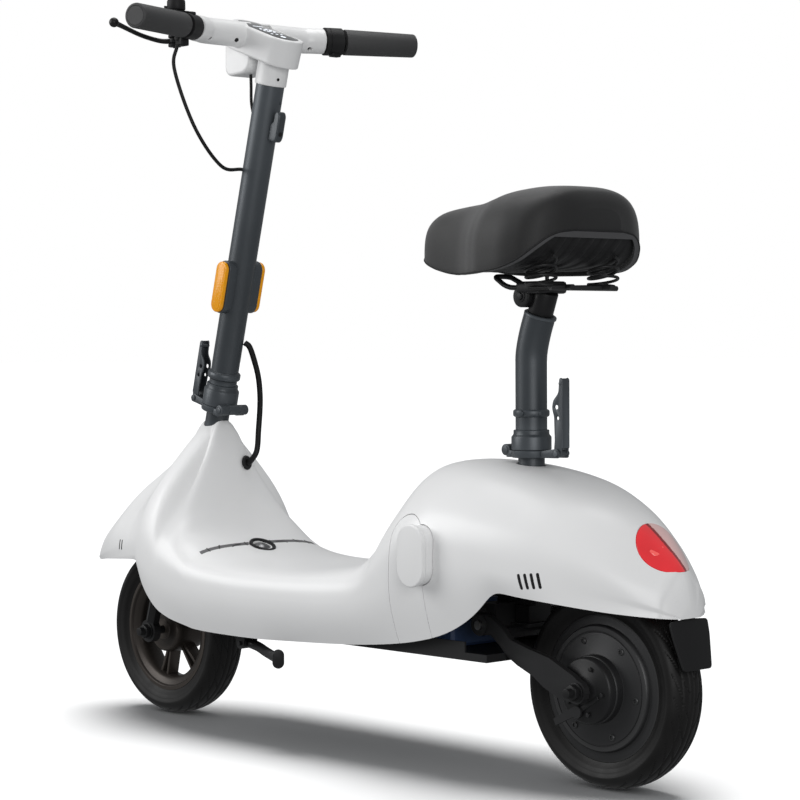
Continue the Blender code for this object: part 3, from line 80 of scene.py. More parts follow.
# Body lines, as (distance from the rear axle, value)
CROWN_HEIGHT = ((-0.125, 0.2245), (-0.121, 0.248), (-0.112, 0.272), (-0.083, 0.305), (-0.054, 0.3325),
    (0.007, 0.3655), (0.057, 0.383), (0.114, 0.394), (0.17, 0.4), (0.22, 0.402), (0.25, 0.399),
    (0.28, 0.387), (0.302, 0.363), (0.32, 0.333), (0.331, 0.3), (0.341, 0.277), (0.36, 0.263),
    (0.4, 0.2545), (0.46, 0.248), (0.54, 0.245), (0.6, 0.246), (0.64, 0.25), (0.68, 0.2605), (0.704, 0.273),
    (0.726, 0.292), (0.738, 0.315), (0.747, 0.345), (0.754, 0.385), (0.759, 0.425), (0.763, 0.442),
    (0.783, 0.445), (0.802, 0.443), (0.811, 0.43), (0.826, 0.404), (0.859, 0.374), (0.898, 0.345),
    (0.944, 0.311), (0.97, 0.291), (1.002, 0.264), (1.03, 0.24), (1.0455, 0.225))
RIDGE_HEIGHT = ((-0.125, 0.2235), (-0.118, 0.244), (-0.11, 0.258), (-0.08, 0.282), (-0.04, 0.307),
    (0.0, 0.325), (0.05, 0.342), (0.1, 0.351), (0.15, 0.356), (0.2, 0.358), (0.25, 0.352), (0.28, 0.325),
    (0.3, 0.28), (0.32, 0.257), (0.347, 0.246), (0.4, 0.239), (0.47, 0.2355), (0.574, 0.2335),
    (0.65, 0.2355), (0.685, 0.241), (0.712, 0.255), (0.733, 0.277), (0.746, 0.298), (0.754, 0.325),
    (0.76, 0.355), (0.765, 0.392), (0.77, 0.42), (0.783, 0.43), (0.8, 0.424), (0.812, 0.402), (0.83, 0.375),
    (0.86, 0.342), (0.898, 0.308), (0.944, 0.277), (0.97, 0.262), (1.002, 0.245), (1.03, 0.231),
    (1.0455, 0.2235))
RIDGE_WIDTH = ((-0.125, 0.008), (-0.118, 0.017), (-0.11, 0.024), (-0.08, 0.046), (-0.04, 0.069),
    (0.0, 0.086), (0.05, 0.099), (0.1, 0.1055), (0.15, 0.11), (0.2, 0.111), (0.25, 0.106), (0.28, 0.112),
    (0.3, 0.128), (0.33, 0.13), (0.574, 0.13), (0.66, 0.132), (0.685, 0.132), (0.712, 0.1265),
    (0.733, 0.116), (0.746, 0.102), (0.754, 0.084), (0.76, 0.062), (0.765, 0.038), (0.77, 0.0235),
    (0.783, 0.0205), (0.8, 0.0225), (0.812, 0.028), (0.83, 0.04), (0.86, 0.061), (0.898, 0.079),
    (0.944, 0.072), (0.97, 0.06), (1.002, 0.043), (1.03, 0.023), (1.0455, 0.007))
BELLY_WIDTH = ((-0.125, 0.0135), (-0.118, 0.0285), (-0.11, 0.039), (-0.08, 0.0645), (-0.04, 0.0895),
    (0.0, 0.109), (0.05, 0.124), (0.1, 0.132), (0.16, 0.137), (0.22, 0.138), (0.3, 0.137), (0.46, 0.1365),
    (0.68, 0.1365), (0.78, 0.133), (0.82, 0.127), (0.86, 0.121), (0.9, 0.11), (0.944, 0.0895),
    (0.97, 0.0752), (1.002, 0.0532), (1.03, 0.03), (1.0455, 0.0105))
BELLY_HEIGHT = ((-0.125, 0.2227), (-0.11, 0.23), (-0.08, 0.241), (-0.04, 0.251), (0.0, 0.262), (0.05, 0.27),
    (0.1, 0.276), (0.15, 0.278), (0.22, 0.272), (0.29, 0.232), (0.35, 0.214), (0.46, 0.208), (0.68, 0.208),
    (0.74, 0.218), (0.78, 0.235), (0.82, 0.25), (0.9, 0.24), (0.97, 0.232), (1.0455, 0.2225))
EDGE_WIDTH = ((-0.125, 0.014), (-0.118, 0.03), (-0.11, 0.041), (-0.08, 0.067), (-0.04, 0.091),
    (0.0, 0.1085), (0.05, 0.1185), (0.087, 0.122), (0.14, 0.121), (0.2, 0.119), (0.3, 0.119), (0.7, 0.121),
    (0.78, 0.1235), (0.82, 0.1245), (0.86, 0.12), (0.9, 0.1093), (0.944, 0.0889), (0.97, 0.0749),
    (1.002, 0.0529), (1.03, 0.0298), (1.0455, 0.0103))
EDGE_HEIGHT = ((-0.125, 0.222), (-0.06, 0.23), (0.0, 0.239), (0.06, 0.2462), (0.083, 0.249), (0.09, 0.2475),
    (0.112, 0.227), (0.133, 0.211), (0.165, 0.194), (0.2, 0.182), (0.26, 0.17), (0.358, 0.16),
    (0.46, 0.1545), (0.575, 0.1505), (0.675, 0.152), (0.708, 0.157), (0.742, 0.164), (0.765, 0.173),
    (0.788, 0.192), (0.805, 0.217), (0.813, 0.239), (0.818, 0.243), (0.87, 0.24), (0.94, 0.234),
    (1.0455, 0.2217))


def place(x, y=0.0, z=0.0):
    """A point measured from the rear axle, in the frame."""
    return Vector((x + REAR_AXLE_X, y, z))


def stem_point(along, ahead=0.0, side=0.0):
    """A point on the steering axis, measured up it from the height of the front axle."""
    foot = place(WHEELBASE - AXLE_OFFSET, side, WHEEL_RADIUS)
    up = Vector((-sin(STEM_LEAN), 0, cos(STEM_LEAN)))
    front = Vector((cos(STEM_LEAN), 0, sin(STEM_LEAN)))
    return foot + up * along + front * ahead


def put(node, **values):
    """Set a shader node's inputs, whose names have _ for a space."""
    for socket, value in values.items():
        node.inputs[socket.replace("_", " ")].default_value = value


# ---------------------------------------------------------------- camera, light, floor
scene = bpy.context.scene
YAW, PITCH, ROLL = radians(-43.3996), radians(-1.4629), radians(-0.3147)
CAMERA_AT = Vector((-2.4355, 2.2378, 0.5623))
FOCAL_MM, SENSOR_MM = 107.58, 36.0
aim = Vector((cos(PITCH) * cos(YAW), cos(PITCH) * sin(YAW), sin(PITCH)))
level = Vector((sin(YAW), -cos(YAW), 0))
lift = level.cross(aim)
right = cos(ROLL) * level + sin(ROLL) * lift
above = -sin(ROLL) * level + cos(ROLL) * lift
lens = bpy.data.cameras.new("camera")
lens.lens = FOCAL_MM
lens.sensor_width = SENSOR_MM
lens.clip_end = 60
camera = bpy.data.objects.new("camera", lens)
camera.matrix_world = Matrix.Translation(CAMERA_AT) @ Matrix((right, above, -aim)).transposed().to_4x4()
scene.collection.objects.link(camera)
scene.camera = camera
scene.view_settings.view_transform = "Standard"

WORLD_FILL = 0.3
world = bpy.data.worlds.new("studio")
scene.world = world
world.use_nodes = True
sky = world.node_tree
sky.nodes.clear()
sky_out = sky.nodes.new("ShaderNodeOutputWorld")
seen, fill = sky.nodes.new("ShaderNodeBackground"), sky.nodes.new("ShaderNodeBackground")
pick, ray = sky.nodes.new("ShaderNodeMixShader"), sky.nodes.new("ShaderNodeLightPath")
put(seen, Color=(1, 1, 1, 1), Strength=1.0)
put(fill, Color=(0.96, 0.98, 1.0, 1), Strength=WORLD_FILL)
sky.links.new(ray.outputs["Is Camera Ray"], pick.inputs[0])
sky.links.new(fill.outputs[0], pick.inputs[1])
sky.links.new(seen.outputs[0], pick.inputs[2])
sky.links.new(pick.outputs[0], sky_out.inputs["Surface"])


def area_light(name, at, target, size, power, height=None):
    data = bpy.data.lights.new(name, "AREA")
    data.energy = power
    data.shape = "RECTANGLE"
    data.size = size
    data.size_y = height or size
    lamp = bpy.data.objects.new(name, data)
    lamp.location = at
    lamp.rotation_euler = (Vector(target) - Vector(at)).to_track_quat("-Z", "Y").to_euler()
    scene.collection.objects.link(lamp)
    return lamp


KEY = area_light("key", (2.3, 2.6, 1.9), (0.0, 0.0, 0.35), 2.4, 80)
TOP = area_light("top", (0.3, -0.2, 3.0), (0.0, 0.0, 0.3), 1.8, 36)
SIDE = area_light("side", (-2.8, 1.6, 1.2), (0.0, 0.0, 0.4), 1.8, 40)

floor_mesh = bpy.data.meshes.new("floor")
FLOOR_HALF = 60.0
floor_mesh.from_pydata([(-FLOOR_HALF, -FLOOR_HALF, 0), (FLOOR_HALF, -FLOOR_HALF, 0),
    (FLOOR_HALF, FLOOR_HALF, 0), (-FLOOR_HALF, FLOOR_HALF, 0)], [], [(0, 1, 2, 3)])
floor = bpy.data.objects.new("floor", floor_mesh)
scene.collection.objects.link(floor)
floor.visible_diffuse = False
floor.visible_glossy = False
floor_paint = bpy.data.materials.new("floor_paint")
floor_paint.use_nodes = True
put(floor_paint.node_tree.nodes["Principled BSDF"], Base_Color=(0.95, 0.95, 0.95, 1), Roughness=0.9,
    Specular_IOR_Level=0.0)
floor_mesh.materials.append(floor_paint)

# An overhead light for the floor alone, which draws the soft shadow under the scooter
overhead = bpy.data.lights.new("overhead", "SUN")
overhead.energy = 3.0
overhead.angle = radians(38)
overhead_lamp = bpy.data.objects.new("overhead", overhead)
overhead_lamp.rotation_euler = Vector((-0.1, 0.12, -1)).to_track_quat("-Z", "Y").to_euler()
scene.collection.objects.link(overhead_lamp)
floor_only = bpy.data.collections.new("floor_only")
floor_only.objects.link(floor)
overhead_lamp.light_linking.receiver_collection = floor_only
object_only = bpy.data.collections.new("object_only")
object_only.objects.link(floor)
object_only.collection_objects[0].light_linking.link_state = "EXCLUDE"
for lamp in (KEY, TOP, SIDE):
    lamp.light_linking.receiver_collection = object_only


# ---------------------------------------------------------------- materials
def surface(name, colour, roughness, metallic=0.0, grain=900.0, bump=0.05, kind="noise", mottle=0.06,
        rough_vary=0.08, blotch=14.0, worn=None, **constant):
    """A procedural finish: grain as bump, slow blotches in colour and gloss, lighter edges where worn."""
    made = bpy.data.materials.new(name)
    made.use_nodes = True
    tree = made.node_tree
    shader = tree.nodes["Principled BSDF"]
    new, link = tree.nodes.new, tree.links.new
    where = new("ShaderNodeTexCoord")
    slow = new("ShaderNodeTexNoise")
    put(slow, Scale=blotch, Detail=6.0)
    link(where.outputs["Object"], slow.inputs["Vector"])
    tint = new("ShaderNodeValToRGB")
    low = [max(c * (1 - mottle), 0) for c in colour]
    high = [min(c * (1 + mottle), 1) for c in colour]
    tint.color_ramp.elements[0].position = 0.3
    tint.color_ramp.elements[1].position = 0.7
    tint.color_ramp.elements[0].color = (*low, 1)
    tint.color_ramp.elements[1].color = (*high, 1)
    link(slow.outputs["Fac"], tint.inputs["Fac"])
    colour_out = tint.outputs["Color"]
    if worn:
        edge = new("ShaderNodeNewGeometry")
        sharp = new("ShaderNodeMapRange")
        put(sharp, From_Min=0.515, From_Max=0.6, To_Max=worn[1])
        link(edge.outputs["Pointiness"], sharp.inputs["Value"])
        mix = new("ShaderNodeMix")
        mix.data_type = "RGBA"
        link(sharp.outputs["Result"], mix.inputs["Factor"])
        link(colour_out, mix.inputs[6])
        mix.inputs[7].default_value = (*worn[0], 1)
        colour_out = mix.outputs[2]
    link(colour_out, shader.inputs["Base Color"])
    gloss = new("ShaderNodeMapRange")
    put(gloss, From_Min=0.3, From_Max=0.7, To_Min=max(roughness - rough_vary / 2, 0.02),
        To_Max=min(roughness + rough_vary / 2, 1))
    link(slow.outputs["Fac"], gloss.inputs["Value"])
    link(gloss.outputs["Result"], shader.inputs["Roughness"])
    if kind == "leather":
        fine = new("ShaderNodeTexVoronoi")
        fine.feature = "DISTANCE_TO_EDGE"
        height = fine.outputs["Distance"]
    elif kind == "cells":
        fine = new("ShaderNodeTexVoronoi")
        fine.inputs["Randomness"].default_value = 0.0
        height = fine.outputs["Distance"]
    else:
        fine = new("ShaderNodeTexNoise")
        fine.inputs["Detail"].default_value = 3.0
        height = fine.outputs["Fac"]
    fine.inputs["Scale"].default_value = grain
    link(where.outputs["Object"], fine.inputs["Vector"])
    relief = new("ShaderNodeBump")
    put(relief, Strength=bump, Distance=0.0004)
    link(height, relief.inputs["Height"])
    link(relief.outputs["Normal"], shader.inputs["Normal"])
    put(shader, Metallic=metallic, **constant)
    return made


FINISH = {}


def paint(name, *look, **details):
    FINISH[name] = surface(name, *look, **details)


paint("white_plastic", (0.8, 0.8, 0.8), 0.34, grain=700, bump=0.03, mottle=0.01, rough_vary=0.05, blotch=9)
paint("slate_paint", (0.046, 0.053, 0.06), 0.4, 0.3, grain=1500, bump=0.1, mottle=0.07,
    worn=((0.12, 0.135, 0.15), 0.6))
paint("black_plastic", (0.01, 0.01, 0.0105), 0.5, grain=1300, bump=0.16, mottle=0.15, rough_vary=0.12,
    worn=((0.022, 0.022, 0.023), 0.5), Specular_IOR_Level=0.2)
paint("black_steel", (0.009, 0.009, 0.0095), 0.4, 0.0, grain=1000, bump=0.12, mottle=0.15,
    worn=((0.026, 0.026, 0.027), 0.6), Specular_IOR_Level=0.24)
paint("rubber", (0.008, 0.008, 0.0082), 0.45, grain=1400, bump=0.08, mottle=0.12, Specular_IOR_Level=0.22)
paint("tyre_rubber", (0.0075, 0.0072, 0.0071), 0.5, grain=800, bump=0.14, mottle=0.2, rough_vary=0.16,
    blotch=30, worn=((0.024, 0.023, 0.022), 0.5), Specular_IOR_Level=0.22)
paint("grip_rubber", (0.04, 0.04, 0.041), 0.62, grain=1600, bump=0.22, kind="cells", mottle=0.07,
    rough_vary=0.1)
paint("mat_rubber", (0.122, 0.122, 0.125), 0.6, grain=1500, bump=0.25, mottle=0.08, rough_vary=0.1,
    worn=((0.2, 0.2, 0.205), 0.4))
paint("vinyl", (0.0105, 0.0105, 0.0108), 0.58, grain=520, bump=0.45, kind="leather", mottle=0.1,
    rough_vary=0.1, blotch=20, worn=((0.03, 0.03, 0.031), 0.35), Specular_IOR_Level=0.35, Sheen_Weight=0.2,
    Sheen_Roughness=0.45)
paint("rim_alloy", (0.04, 0.034, 0.03), 0.36, 0.55, grain=1200, bump=0.08, mottle=0.1,
    worn=((0.15, 0.128, 0.112), 0.6), Specular_IOR_Level=0.3)
paint("motor_alloy", (0.026, 0.026, 0.027), 0.42, 0.45, grain=900, bump=0.14, mottle=0.12,
    worn=((0.09, 0.09, 0.09), 0.5))
paint("steel", (0.2, 0.2, 0.205), 0.32, 1.0, grain=1500, bump=0.06, mottle=0.08,
    worn=((0.45, 0.45, 0.45), 0.5))
# The amber reflector's slight emission is a painted glow: a reflector is no lamp.
paint("amber_lens", (0.72, 0.29, 0.0), 0.2, grain=420, bump=0.55, kind="cells", mottle=0.08,
    rough_vary=0.04, Coat_Weight=0.25, Coat_Roughness=0.1, Specular_IOR_Level=0.3, Emission_Strength=0.12,
    Emission_Color=(0.9, 0.36, 0.0, 1))
paint("red_lens", (0.78, 0.02, 0.028), 0.1, grain=300, bump=0.1, kind="cells", mottle=0.15, rough_vary=0.03,
    Coat_Weight=1.0, Coat_Roughness=0.04, Emission_Strength=0.12, Emission_Color=(0.9, 0.03, 0.04, 1))
paint("clear_lens", (0.8, 0.82, 0.85), 0.08, grain=420, bump=0.3, kind="cells", mottle=0.04,
    rough_vary=0.03, Coat_Weight=1.0, Coat_Roughness=0.03)
paint("display_glass", (0.006, 0.006, 0.007), 0.06, grain=60, bump=0.01, mottle=0.1, rough_vary=0.02,
    Coat_Weight=1.0, Coat_Roughness=0.02)
paint("cell_wrap", (0.05, 0.09, 0.2), 0.45, grain=300, bump=0.2, mottle=0.1)
paint("icon", (0.85, 0.88, 0.92), 0.4, grain=900, bump=0.02, mottle=0.02, Emission_Strength=0.7,
    Emission_Color=(0.85, 0.9, 1.0, 1))
# A pale pink for the lens's right side: in part a paler section of the lens, in part a painted highlight.
paint("pink_lens_and_highlight", (0.82, 0.52, 0.5), 0.12, grain=300, bump=0.08, kind="cells", mottle=0.08, Coat_Weight=1.0,
    Coat_Roughness=0.04)
paint("red_deep", (0.26, 0.012, 0.016), 0.14, grain=300, bump=0.08, mottle=0.15, Coat_Weight=0.6)
paint("red_glow", (0.9, 0.1, 0.09), 0.12, grain=260, bump=0.6, kind="cells", mottle=0.2, Coat_Weight=1.0,
    Emission_Strength=0.25, Emission_Color=(1.0, 0.16, 0.14, 1))
# The groove colour is painted shade for the mat's grooves, which are drawn as dark lines, not cut.
paint("groove", (0.04, 0.04, 0.041), 0.75, grain=1500, bump=0.2, mottle=0.08)
paint("hem", (0.075, 0.075, 0.078), 0.7, grain=1400, bump=0.3, kind="cells", mottle=0.08)
for part in frame["record"]["subparts"]:
    node = frame["nodes"][part["node"]]
    node.data.materials.clear()
    node.data.materials.append(FINISH[part["material_slot"]])


# ---------------------------------------------------------------- shaping helpers
def settle(obj, angle=38.0):
    """Apply an object's modifiers and place: the mesh is then in the frame and the object at its origin."""
    bpy.context.view_layer.update()
    mesh = bpy.data.meshes.new_from_object(obj.evaluated_get(bpy.context.evaluated_depsgraph_get()))
    mesh.transform(obj.matrix_world)
    if obj.matrix_world.determinant() < 0:
        mesh.flip_normals()
    name = obj.name
    bpy.data.objects.remove(obj)
    fresh = bpy.data.objects.new(name, mesh)
    fresh.name = name
    scene.collection.objects.link(fresh)
    mesh.shade_smooth()
    mesh.set_sharp_from_angle(angle=radians(angle))
    return fresh


def add(name, mesh, at=(0, 0, 0), turn=(0, 0, 0), angle=38.0):
    obj = bpy.data.objects.new(name, mesh)
    obj.location = at
    obj.rotation_euler = turn
    scene.collection.objects.link(obj)
    mesh.shade_smooth()
    mesh.set_sharp_from_angle(angle=radians(angle))
    return obj


def from_bmesh(name, bm, **where):
    bmesh.ops.recalc_face_normals(bm, faces=bm.faces)
    mesh = bpy.data.meshes.new(name)
    bm.to_mesh(mesh)
    bm.free()
    return add(name, mesh, **where)


def soften(obj, width, segments=3, angle=35.0):
    bevel = obj.modifiers.new("round", "BEVEL")
    bevel.width = width
    bevel.segments = segments
    bevel.limit_method = "ANGLE"
    bevel.angle_limit = radians(angle)
    bevel.harden_normals = False
    return obj


def box(name, size, bevel=0.0, **where):
    bm = bmesh.new()
    bmesh.ops.create_cube(bm, size=1.0, matrix=Matrix.Diagonal((*size, 1)))
    obj = from_bmesh(name, bm, **where)
    return soften(obj, bevel) if bevel else obj


def rod(name, radius, length, top_radius=None, sides=40, bevel=0.0, **where):
    """A cylinder or cone along its own Z."""
    bm = bmesh.new()
    bmesh.ops.create_cone(bm, cap_ends=True, segments=sides, radius1=radius,
        radius2=radius if top_radius is None else top_radius, depth=length)
    obj = from_bmesh(name, bm, **where)
    return soften(obj, bevel) if bevel else obj


def turned(name, profile, steps=72, **where):
    """A profile of (radius, height) pairs turned about its own Z; closed when it starts off the axis."""
    closed = profile[0][0] > 1e-7
    bm = bmesh.new()
    rings = []
    for r, z in profile:
        if r < 1e-7:
            rings.append([bm.verts.new((0, 0, z))])
        else:
            rings.append([bm.verts.new((r * cos(2 * pi * k / steps), r * sin(2 * pi * k / steps), z))
                for k in range(steps)])
    pairs = list(zip(rings, rings[1:])) + ([(rings[-1], rings[0])] if closed else [])
    for one, two in pairs:
        for k in range(steps):
            m = (k + 1) % steps
            if len(one) == 1 and len(two) > 1:
                bm.faces.new((one[0], two[k], two[m]))
            elif len(two) == 1 and len(one) > 1:
                bm.faces.new((one[k], one[m], two[0]))
            elif len(one) > 1:
                bm.faces.new((one[k], one[m], two[m], two[k]))
    return from_bmesh(name, bm, **where)


def mirrored(profile):
    """A profile, then its mirror image across height 0."""
    return (*profile, *((r, -z) for r, z in reversed(profile)))


def tube_rings(points, radius, sides):
    """Rings of points round a path, carried along it without twist."""
    pts = [Vector(p) for p in points]
    side = None
    rings = []
    for i, p in enumerate(pts):
        ahead = (pts[min(i + 1, len(pts) - 1)] - pts[max(i - 1, 0)]).normalized()
        side = ahead.orthogonal() if side is None else side - ahead * side.dot(ahead)
        side.normalize()
        other = ahead.cross(side)
        r = radius[i] if hasattr(radius, "__len__") else radius
        rings.append([p + (side * cos(2 * pi * k / sides) + other * sin(2 * pi * k / sides)) * r
            for k in range(sides)])
    return rings


def tube(name, points, radius, sides=24, **where):
    """A round bar through points, with flat closed ends."""
    bm = bmesh.new()
    rings = [[bm.verts.new(q) for q in ring] for ring in tube_rings(points, radius, sides)]
    for one, two in zip(rings, rings[1:]):
        for k in range(sides):
            bm.faces.new((one[k], one[(k + 1) % sides], two[(k + 1) % sides], two[k]))
    bm.faces.new(rings[0])
    bm.faces.new(rings[-1])
    return from_bmesh(name, bm, **where)


def smooth_path(points, count):
    """Points spread along a smooth curve through the given ones."""
    p = np.array([tuple(q) for q in points], float)
    p = np.vstack([2 * p[0] - p[1], p, 2 * p[-1] - p[-2]])
    path = []
    for t in np.linspace(0, len(p) - 3 - 1e-9, count):
        i = int(t)
        u = t - i
        a, b, c, d = p[i:i + 4]
        path.append(0.5 * ((2 * b) + (c - a) * u + (2 * a - 5 * b + 4 * c - d) * u ** 2
            + (3 * b - a - 3 * c + d) * u ** 3))
    return [Vector(q) for q in path]


def plate(name, outline, thickness, bevel=0.0, at=(0, 0, 0), turn=(pi / 2, 0, 0), holes=(), segments=3):
    """A flat outline, in its own X and Y, with a thickness along its own Z."""
    data = bpy.data.curves.new(name, "CURVE")
    data.dimensions = "2D"
    data.fill_mode = "BOTH"
    data.extrude = thickness / 2
    for loop in (outline, *holes):
        spline = data.splines.new("POLY")
        spline.points.add(len(loop) - 1)
        spline.use_cyclic_u = True
        for i, (u, v) in enumerate(loop):
            spline.points[i].co = (u, v, 0, 1)
    curve = bpy.data.objects.new(name, data)
    scene.collection.objects.link(curve)
    bpy.context.view_layer.update()
    mesh = bpy.data.meshes.new_from_object(curve.evaluated_get(bpy.context.evaluated_depsgraph_get()))
    bpy.data.objects.remove(curve)
    bm = bmesh.new()
    bm.from_mesh(mesh)
    bmesh.ops.remove_doubles(bm, verts=bm.verts, dist=0.00001)
    bmesh.ops.dissolve_limit(bm, angle_limit=radians(1), verts=bm.verts, edges=bm.edges)
    obj = from_bmesh(name, bm, at=at, turn=turn)
    return soften(obj, bevel, segments) if bevel else obj


def arc(cx, cy, radius, start, end, count=16):
    return [(cx + radius * cos(radians(a)), cy + radius * sin(radians(a))) for a in np.linspace(start, end,
        count)]


def stadium(cx, cy, width, height, count=20):
    """An upright slot outline."""
    r = width / 2
    reach = height / 2 - r
    return arc(cx, cy + reach, r, 0, 180, count) + arc(cx, cy - reach, r, 180, 360, count)


def rounded(points, radius, count=6):
    """An outline with each corner turned into an arc-like curve."""
    made = []
    total = len(points)
    for i in range(total):
        a, b, c = (Vector((*points[(i + k) % total], 0)) for k in (-1, 0, 1))
        r = min(radius, 0.45 * (a - b).length, 0.45 * (c - b).length)
        one, two = b + (a - b).normalized() * r, b + (c - b).normalized() * r
        for t in np.linspace(0, 1, count):
            q = one * (1 - t) ** 2 + b * 2 * t * (1 - t) + two * t * t
            made.append((q.x, q.y))
    return made


def join(name, *objs, angle=38.0):
    """Several made shapes as one mesh."""
    bm = bmesh.new()
    for obj in objs:
        obj = settle(obj)
        bm.from_mesh(obj.data)
        bpy.data.objects.remove(obj)
    mesh = bpy.data.meshes.new(name)
    bm.to_mesh(mesh)
    bm.free()
    return add(name, mesh, angle=angle)


def boolean(target, operation, *tools, angle=38.0):
    for tool in tools:
        modifier = target.modifiers.new("boolean", "BOOLEAN")
        modifier.operation = operation
        modifier.solver = "EXACT"
        modifier.object = tool
    target = settle(target, angle)
    for tool in tools:
        bpy.data.objects.remove(tool)
    return target


def cut(target, *tools, angle=38.0):
    return boolean(target, "DIFFERENCE", *tools, angle=angle)


def copy_of(obj):
    twin = obj.copy()
    twin.data = obj.data.copy()
    scene.collection.objects.link(twin)
    return twin


def melt(name, voxel, passes, *objs):
    """Shapes grown into one skin with soft junctions."""
    obj = join(name, *objs)
    remesh = obj.modifiers.new("remesh", "REMESH")
    remesh.mode = "VOXEL"
    remesh.voxel_size = voxel * 1
    relax = obj.modifiers.new("relax", "SMOOTH")
    relax.factor = 0.5
    relax.iterations = passes
    return settle(obj, 60)


def fit(obj, body, slot, *nodes, finish=None):
    """Give a finished shape its material, slot and body, and let it stand for CAD nodes."""
    if obj.modifiers or obj.matrix_world != Matrix.Identity(4):
        obj = settle(obj)
    obj.data.materials.clear()
    obj.data.materials.append(FINISH[finish or slot])
    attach(obj, body)
    if nodes:
        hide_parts(*nodes)
    return obj


CABLE_ENTRY = place(0.7508, -0.029, 0.38)
CABLE_NORMAL = Vector((-0.967, -0.194, 0.165)).normalized()
CABLE_R = 0.0042
main_route = smooth_path([place(0.7355, -0.016, 0.558), place(0.732, -0.0226, 0.551),
    place(0.7313, -0.0317, 0.528), place(0.7315, -0.0384, 0.5058), place(0.7342, -0.0434, 0.4805),
    place(0.7385, -0.0465, 0.4581), place(0.7405, -0.0455, 0.43), place(0.735, -0.037, 0.398),
    CABLE_ENTRY + CABLE_NORMAL * 0.008], 65) + [CABLE_ENTRY - CABLE_NORMAL * 0.01]
SPLIT = 33
upper_route, lower_route = main_route[:SPLIT + 1], main_route[SPLIT:]


def cable(name, route, radius, sides=20):
    obj = tube(name, route, radius, sides)
    obj.data.materials.append(FINISH["rubber"])
    return obj


cable_upper = cable("main_cable_upper", upper_route, CABLE_R)
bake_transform(cable_upper)
cable_lower = cable("main_cable_lower", lower_route, CABLE_R)
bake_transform(cable_lower)
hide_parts("main_cable")
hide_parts("main_cable")


def bar_point(x, y, lift=0.0):
    return place(x, y, BAR_HEIGHT + lift)


def bar_frame(index, share, hand):
    """A point on the bar between two of its own points, and the turn that lays Z along it."""
    a, b = (Vector((BAR_POINTS[i][0], BAR_POINTS[i][1] * hand, 0)) for i in (index, index + 1))
    mid = a.lerp(b, share)
    return bar_point(mid.x, mid.y), (b - a).to_track_quat("Z", "Y").to_euler()


perch_at, perch_turn = bar_frame(2, 0.66, 1)
BRAKE_R = 0.0026
brake_route = smooth_path([perch_at + Vector((0.014, 0.01, -0.025)),
    perch_at + Vector((0.016, 0.014, -0.06)), perch_at + Vector((0.002, -0.01, -0.14)),
    place(0.67, 0.08, 0.81), stem_point(0.7, 0.0235, 0.008)], 60)
brake_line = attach(cable("brake_cable_line", brake_route, BRAKE_R, 16), "stem")
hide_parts("brake_cable")
lead_route = smooth_path([place(0.6935, 0.004, 0.947), place(0.693, 0.004, 0.93),
    place(0.6925, 0.004, 0.905), place(0.688, 0.003, 0.882), stem_point(0.76, 0.0195, 0.003)], 40)
LEAD_R = 0.0022
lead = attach(cable("lamp_lead", lead_route, LEAD_R, 14), "stem")


# ---------------------------------------------------------------- body surface
def line(points, x):
    """A body line's value at x: a monotone cubic through its points."""
    px, py = np.array(points, float).T
    h = np.diff(px)
    d = np.diff(py) / h
    slope = np.zeros(len(px))
    for i in range(1, len(px) - 1):
        if d[i - 1] * d[i] > 0:
            a, b = 2 * h[i] + h[i - 1], h[i] + 2 * h[i - 1]
            slope[i] = (a + b) / (a / d[i - 1] + b / d[i])
    slope[0], slope[-1] = d[0], d[-1]
    i = int(np.clip(np.searchsorted(px, x, side="right") - 1, 0, len(px) - 2))
    u = (x - px[i]) / h[i]
    return float((1 + 2 * u) * (1 - u) ** 2 * py[i] + u * (1 - u) ** 2 * h[i] * slope[i] + u * u
        * (3 - 2 * u) * py[i + 1] + u * u * (u - 1) * h[i] * slope[i + 1])


def bezier(a, b, c, d, u):
    return (1 - u) ** 3 * a + 3 * u * (1 - u) ** 2 * b + 3 * u * u * (1 - u) * c + u ** 3 * d


def half_section(x, low, side, top):
    """The body's left half at x, as (y, z) points from the lower edge to the crown."""
    edge = np.array((line(EDGE_WIDTH, x), line(EDGE_HEIGHT, x)))
    belly = np.array((line(BELLY_WIDTH, x), max(line(BELLY_HEIGHT, x), edge[1] + 0.0004)))
    ridge = np.array((line(RIDGE_WIDTH, x), max(line(RIDGE_HEIGHT, x), belly[1] + 0.0004)))
    crown = np.array((0.0, max(line(CROWN_HEIGHT, x), ridge[1] + 0.0003)))
    lean = np.array((-1.0, 1.0)) / 2 ** 0.5
    points = []
    rise = belly - edge
    for u in np.linspace(0, 1, low + 1)[:-1]:
        points.append(edge + rise * np.array((sin(u * pi / 2), u)))
    reach = min(0.5 * np.linalg.norm(ridge - belly), 0.95 * (belly[0] - ridge[0]) * 2 ** 0.5)
    up = np.array((0.0, 0.45 * (ridge[1] - belly[1])))
    for u in np.linspace(0, 1, side + 1)[:-1]:
        points.append(bezier(belly, belly + up, ridge - lean * reach, ridge, u))
    reach = min(0.4 * np.linalg.norm(crown - ridge), 0.95 * (crown[1] - ridge[1]) * 2 ** 0.5)
    flat = np.array((0.5 * ridge[0], 0.0))
    for u in np.linspace(0, 1, top + 1):
        points.append(bezier(ridge, ridge + lean * reach, crown + flat, crown, u))
    return points


def body_grid(stations, low=7, side=14, top=16):
    rows = []
    for x in stations:
        half = half_section(x, low, side, top)
        rows.append([(x, y, z) for y, z in half] + [(x, -y, z) for y, z in reversed(half[:-1])])
    return np.array(rows)


def eased(grid, passes):
    """Body rows smoothed a little along the scooter, against ripples between the lines' own points."""
    made = grid.copy()
    for _ in range(passes):
        made[1:-1, :, 1:] = 0.5 * made[1:-1, :, 1:] + 0.25 * (made[:-2, :, 1:] + made[2:, :, 1:])
    return made


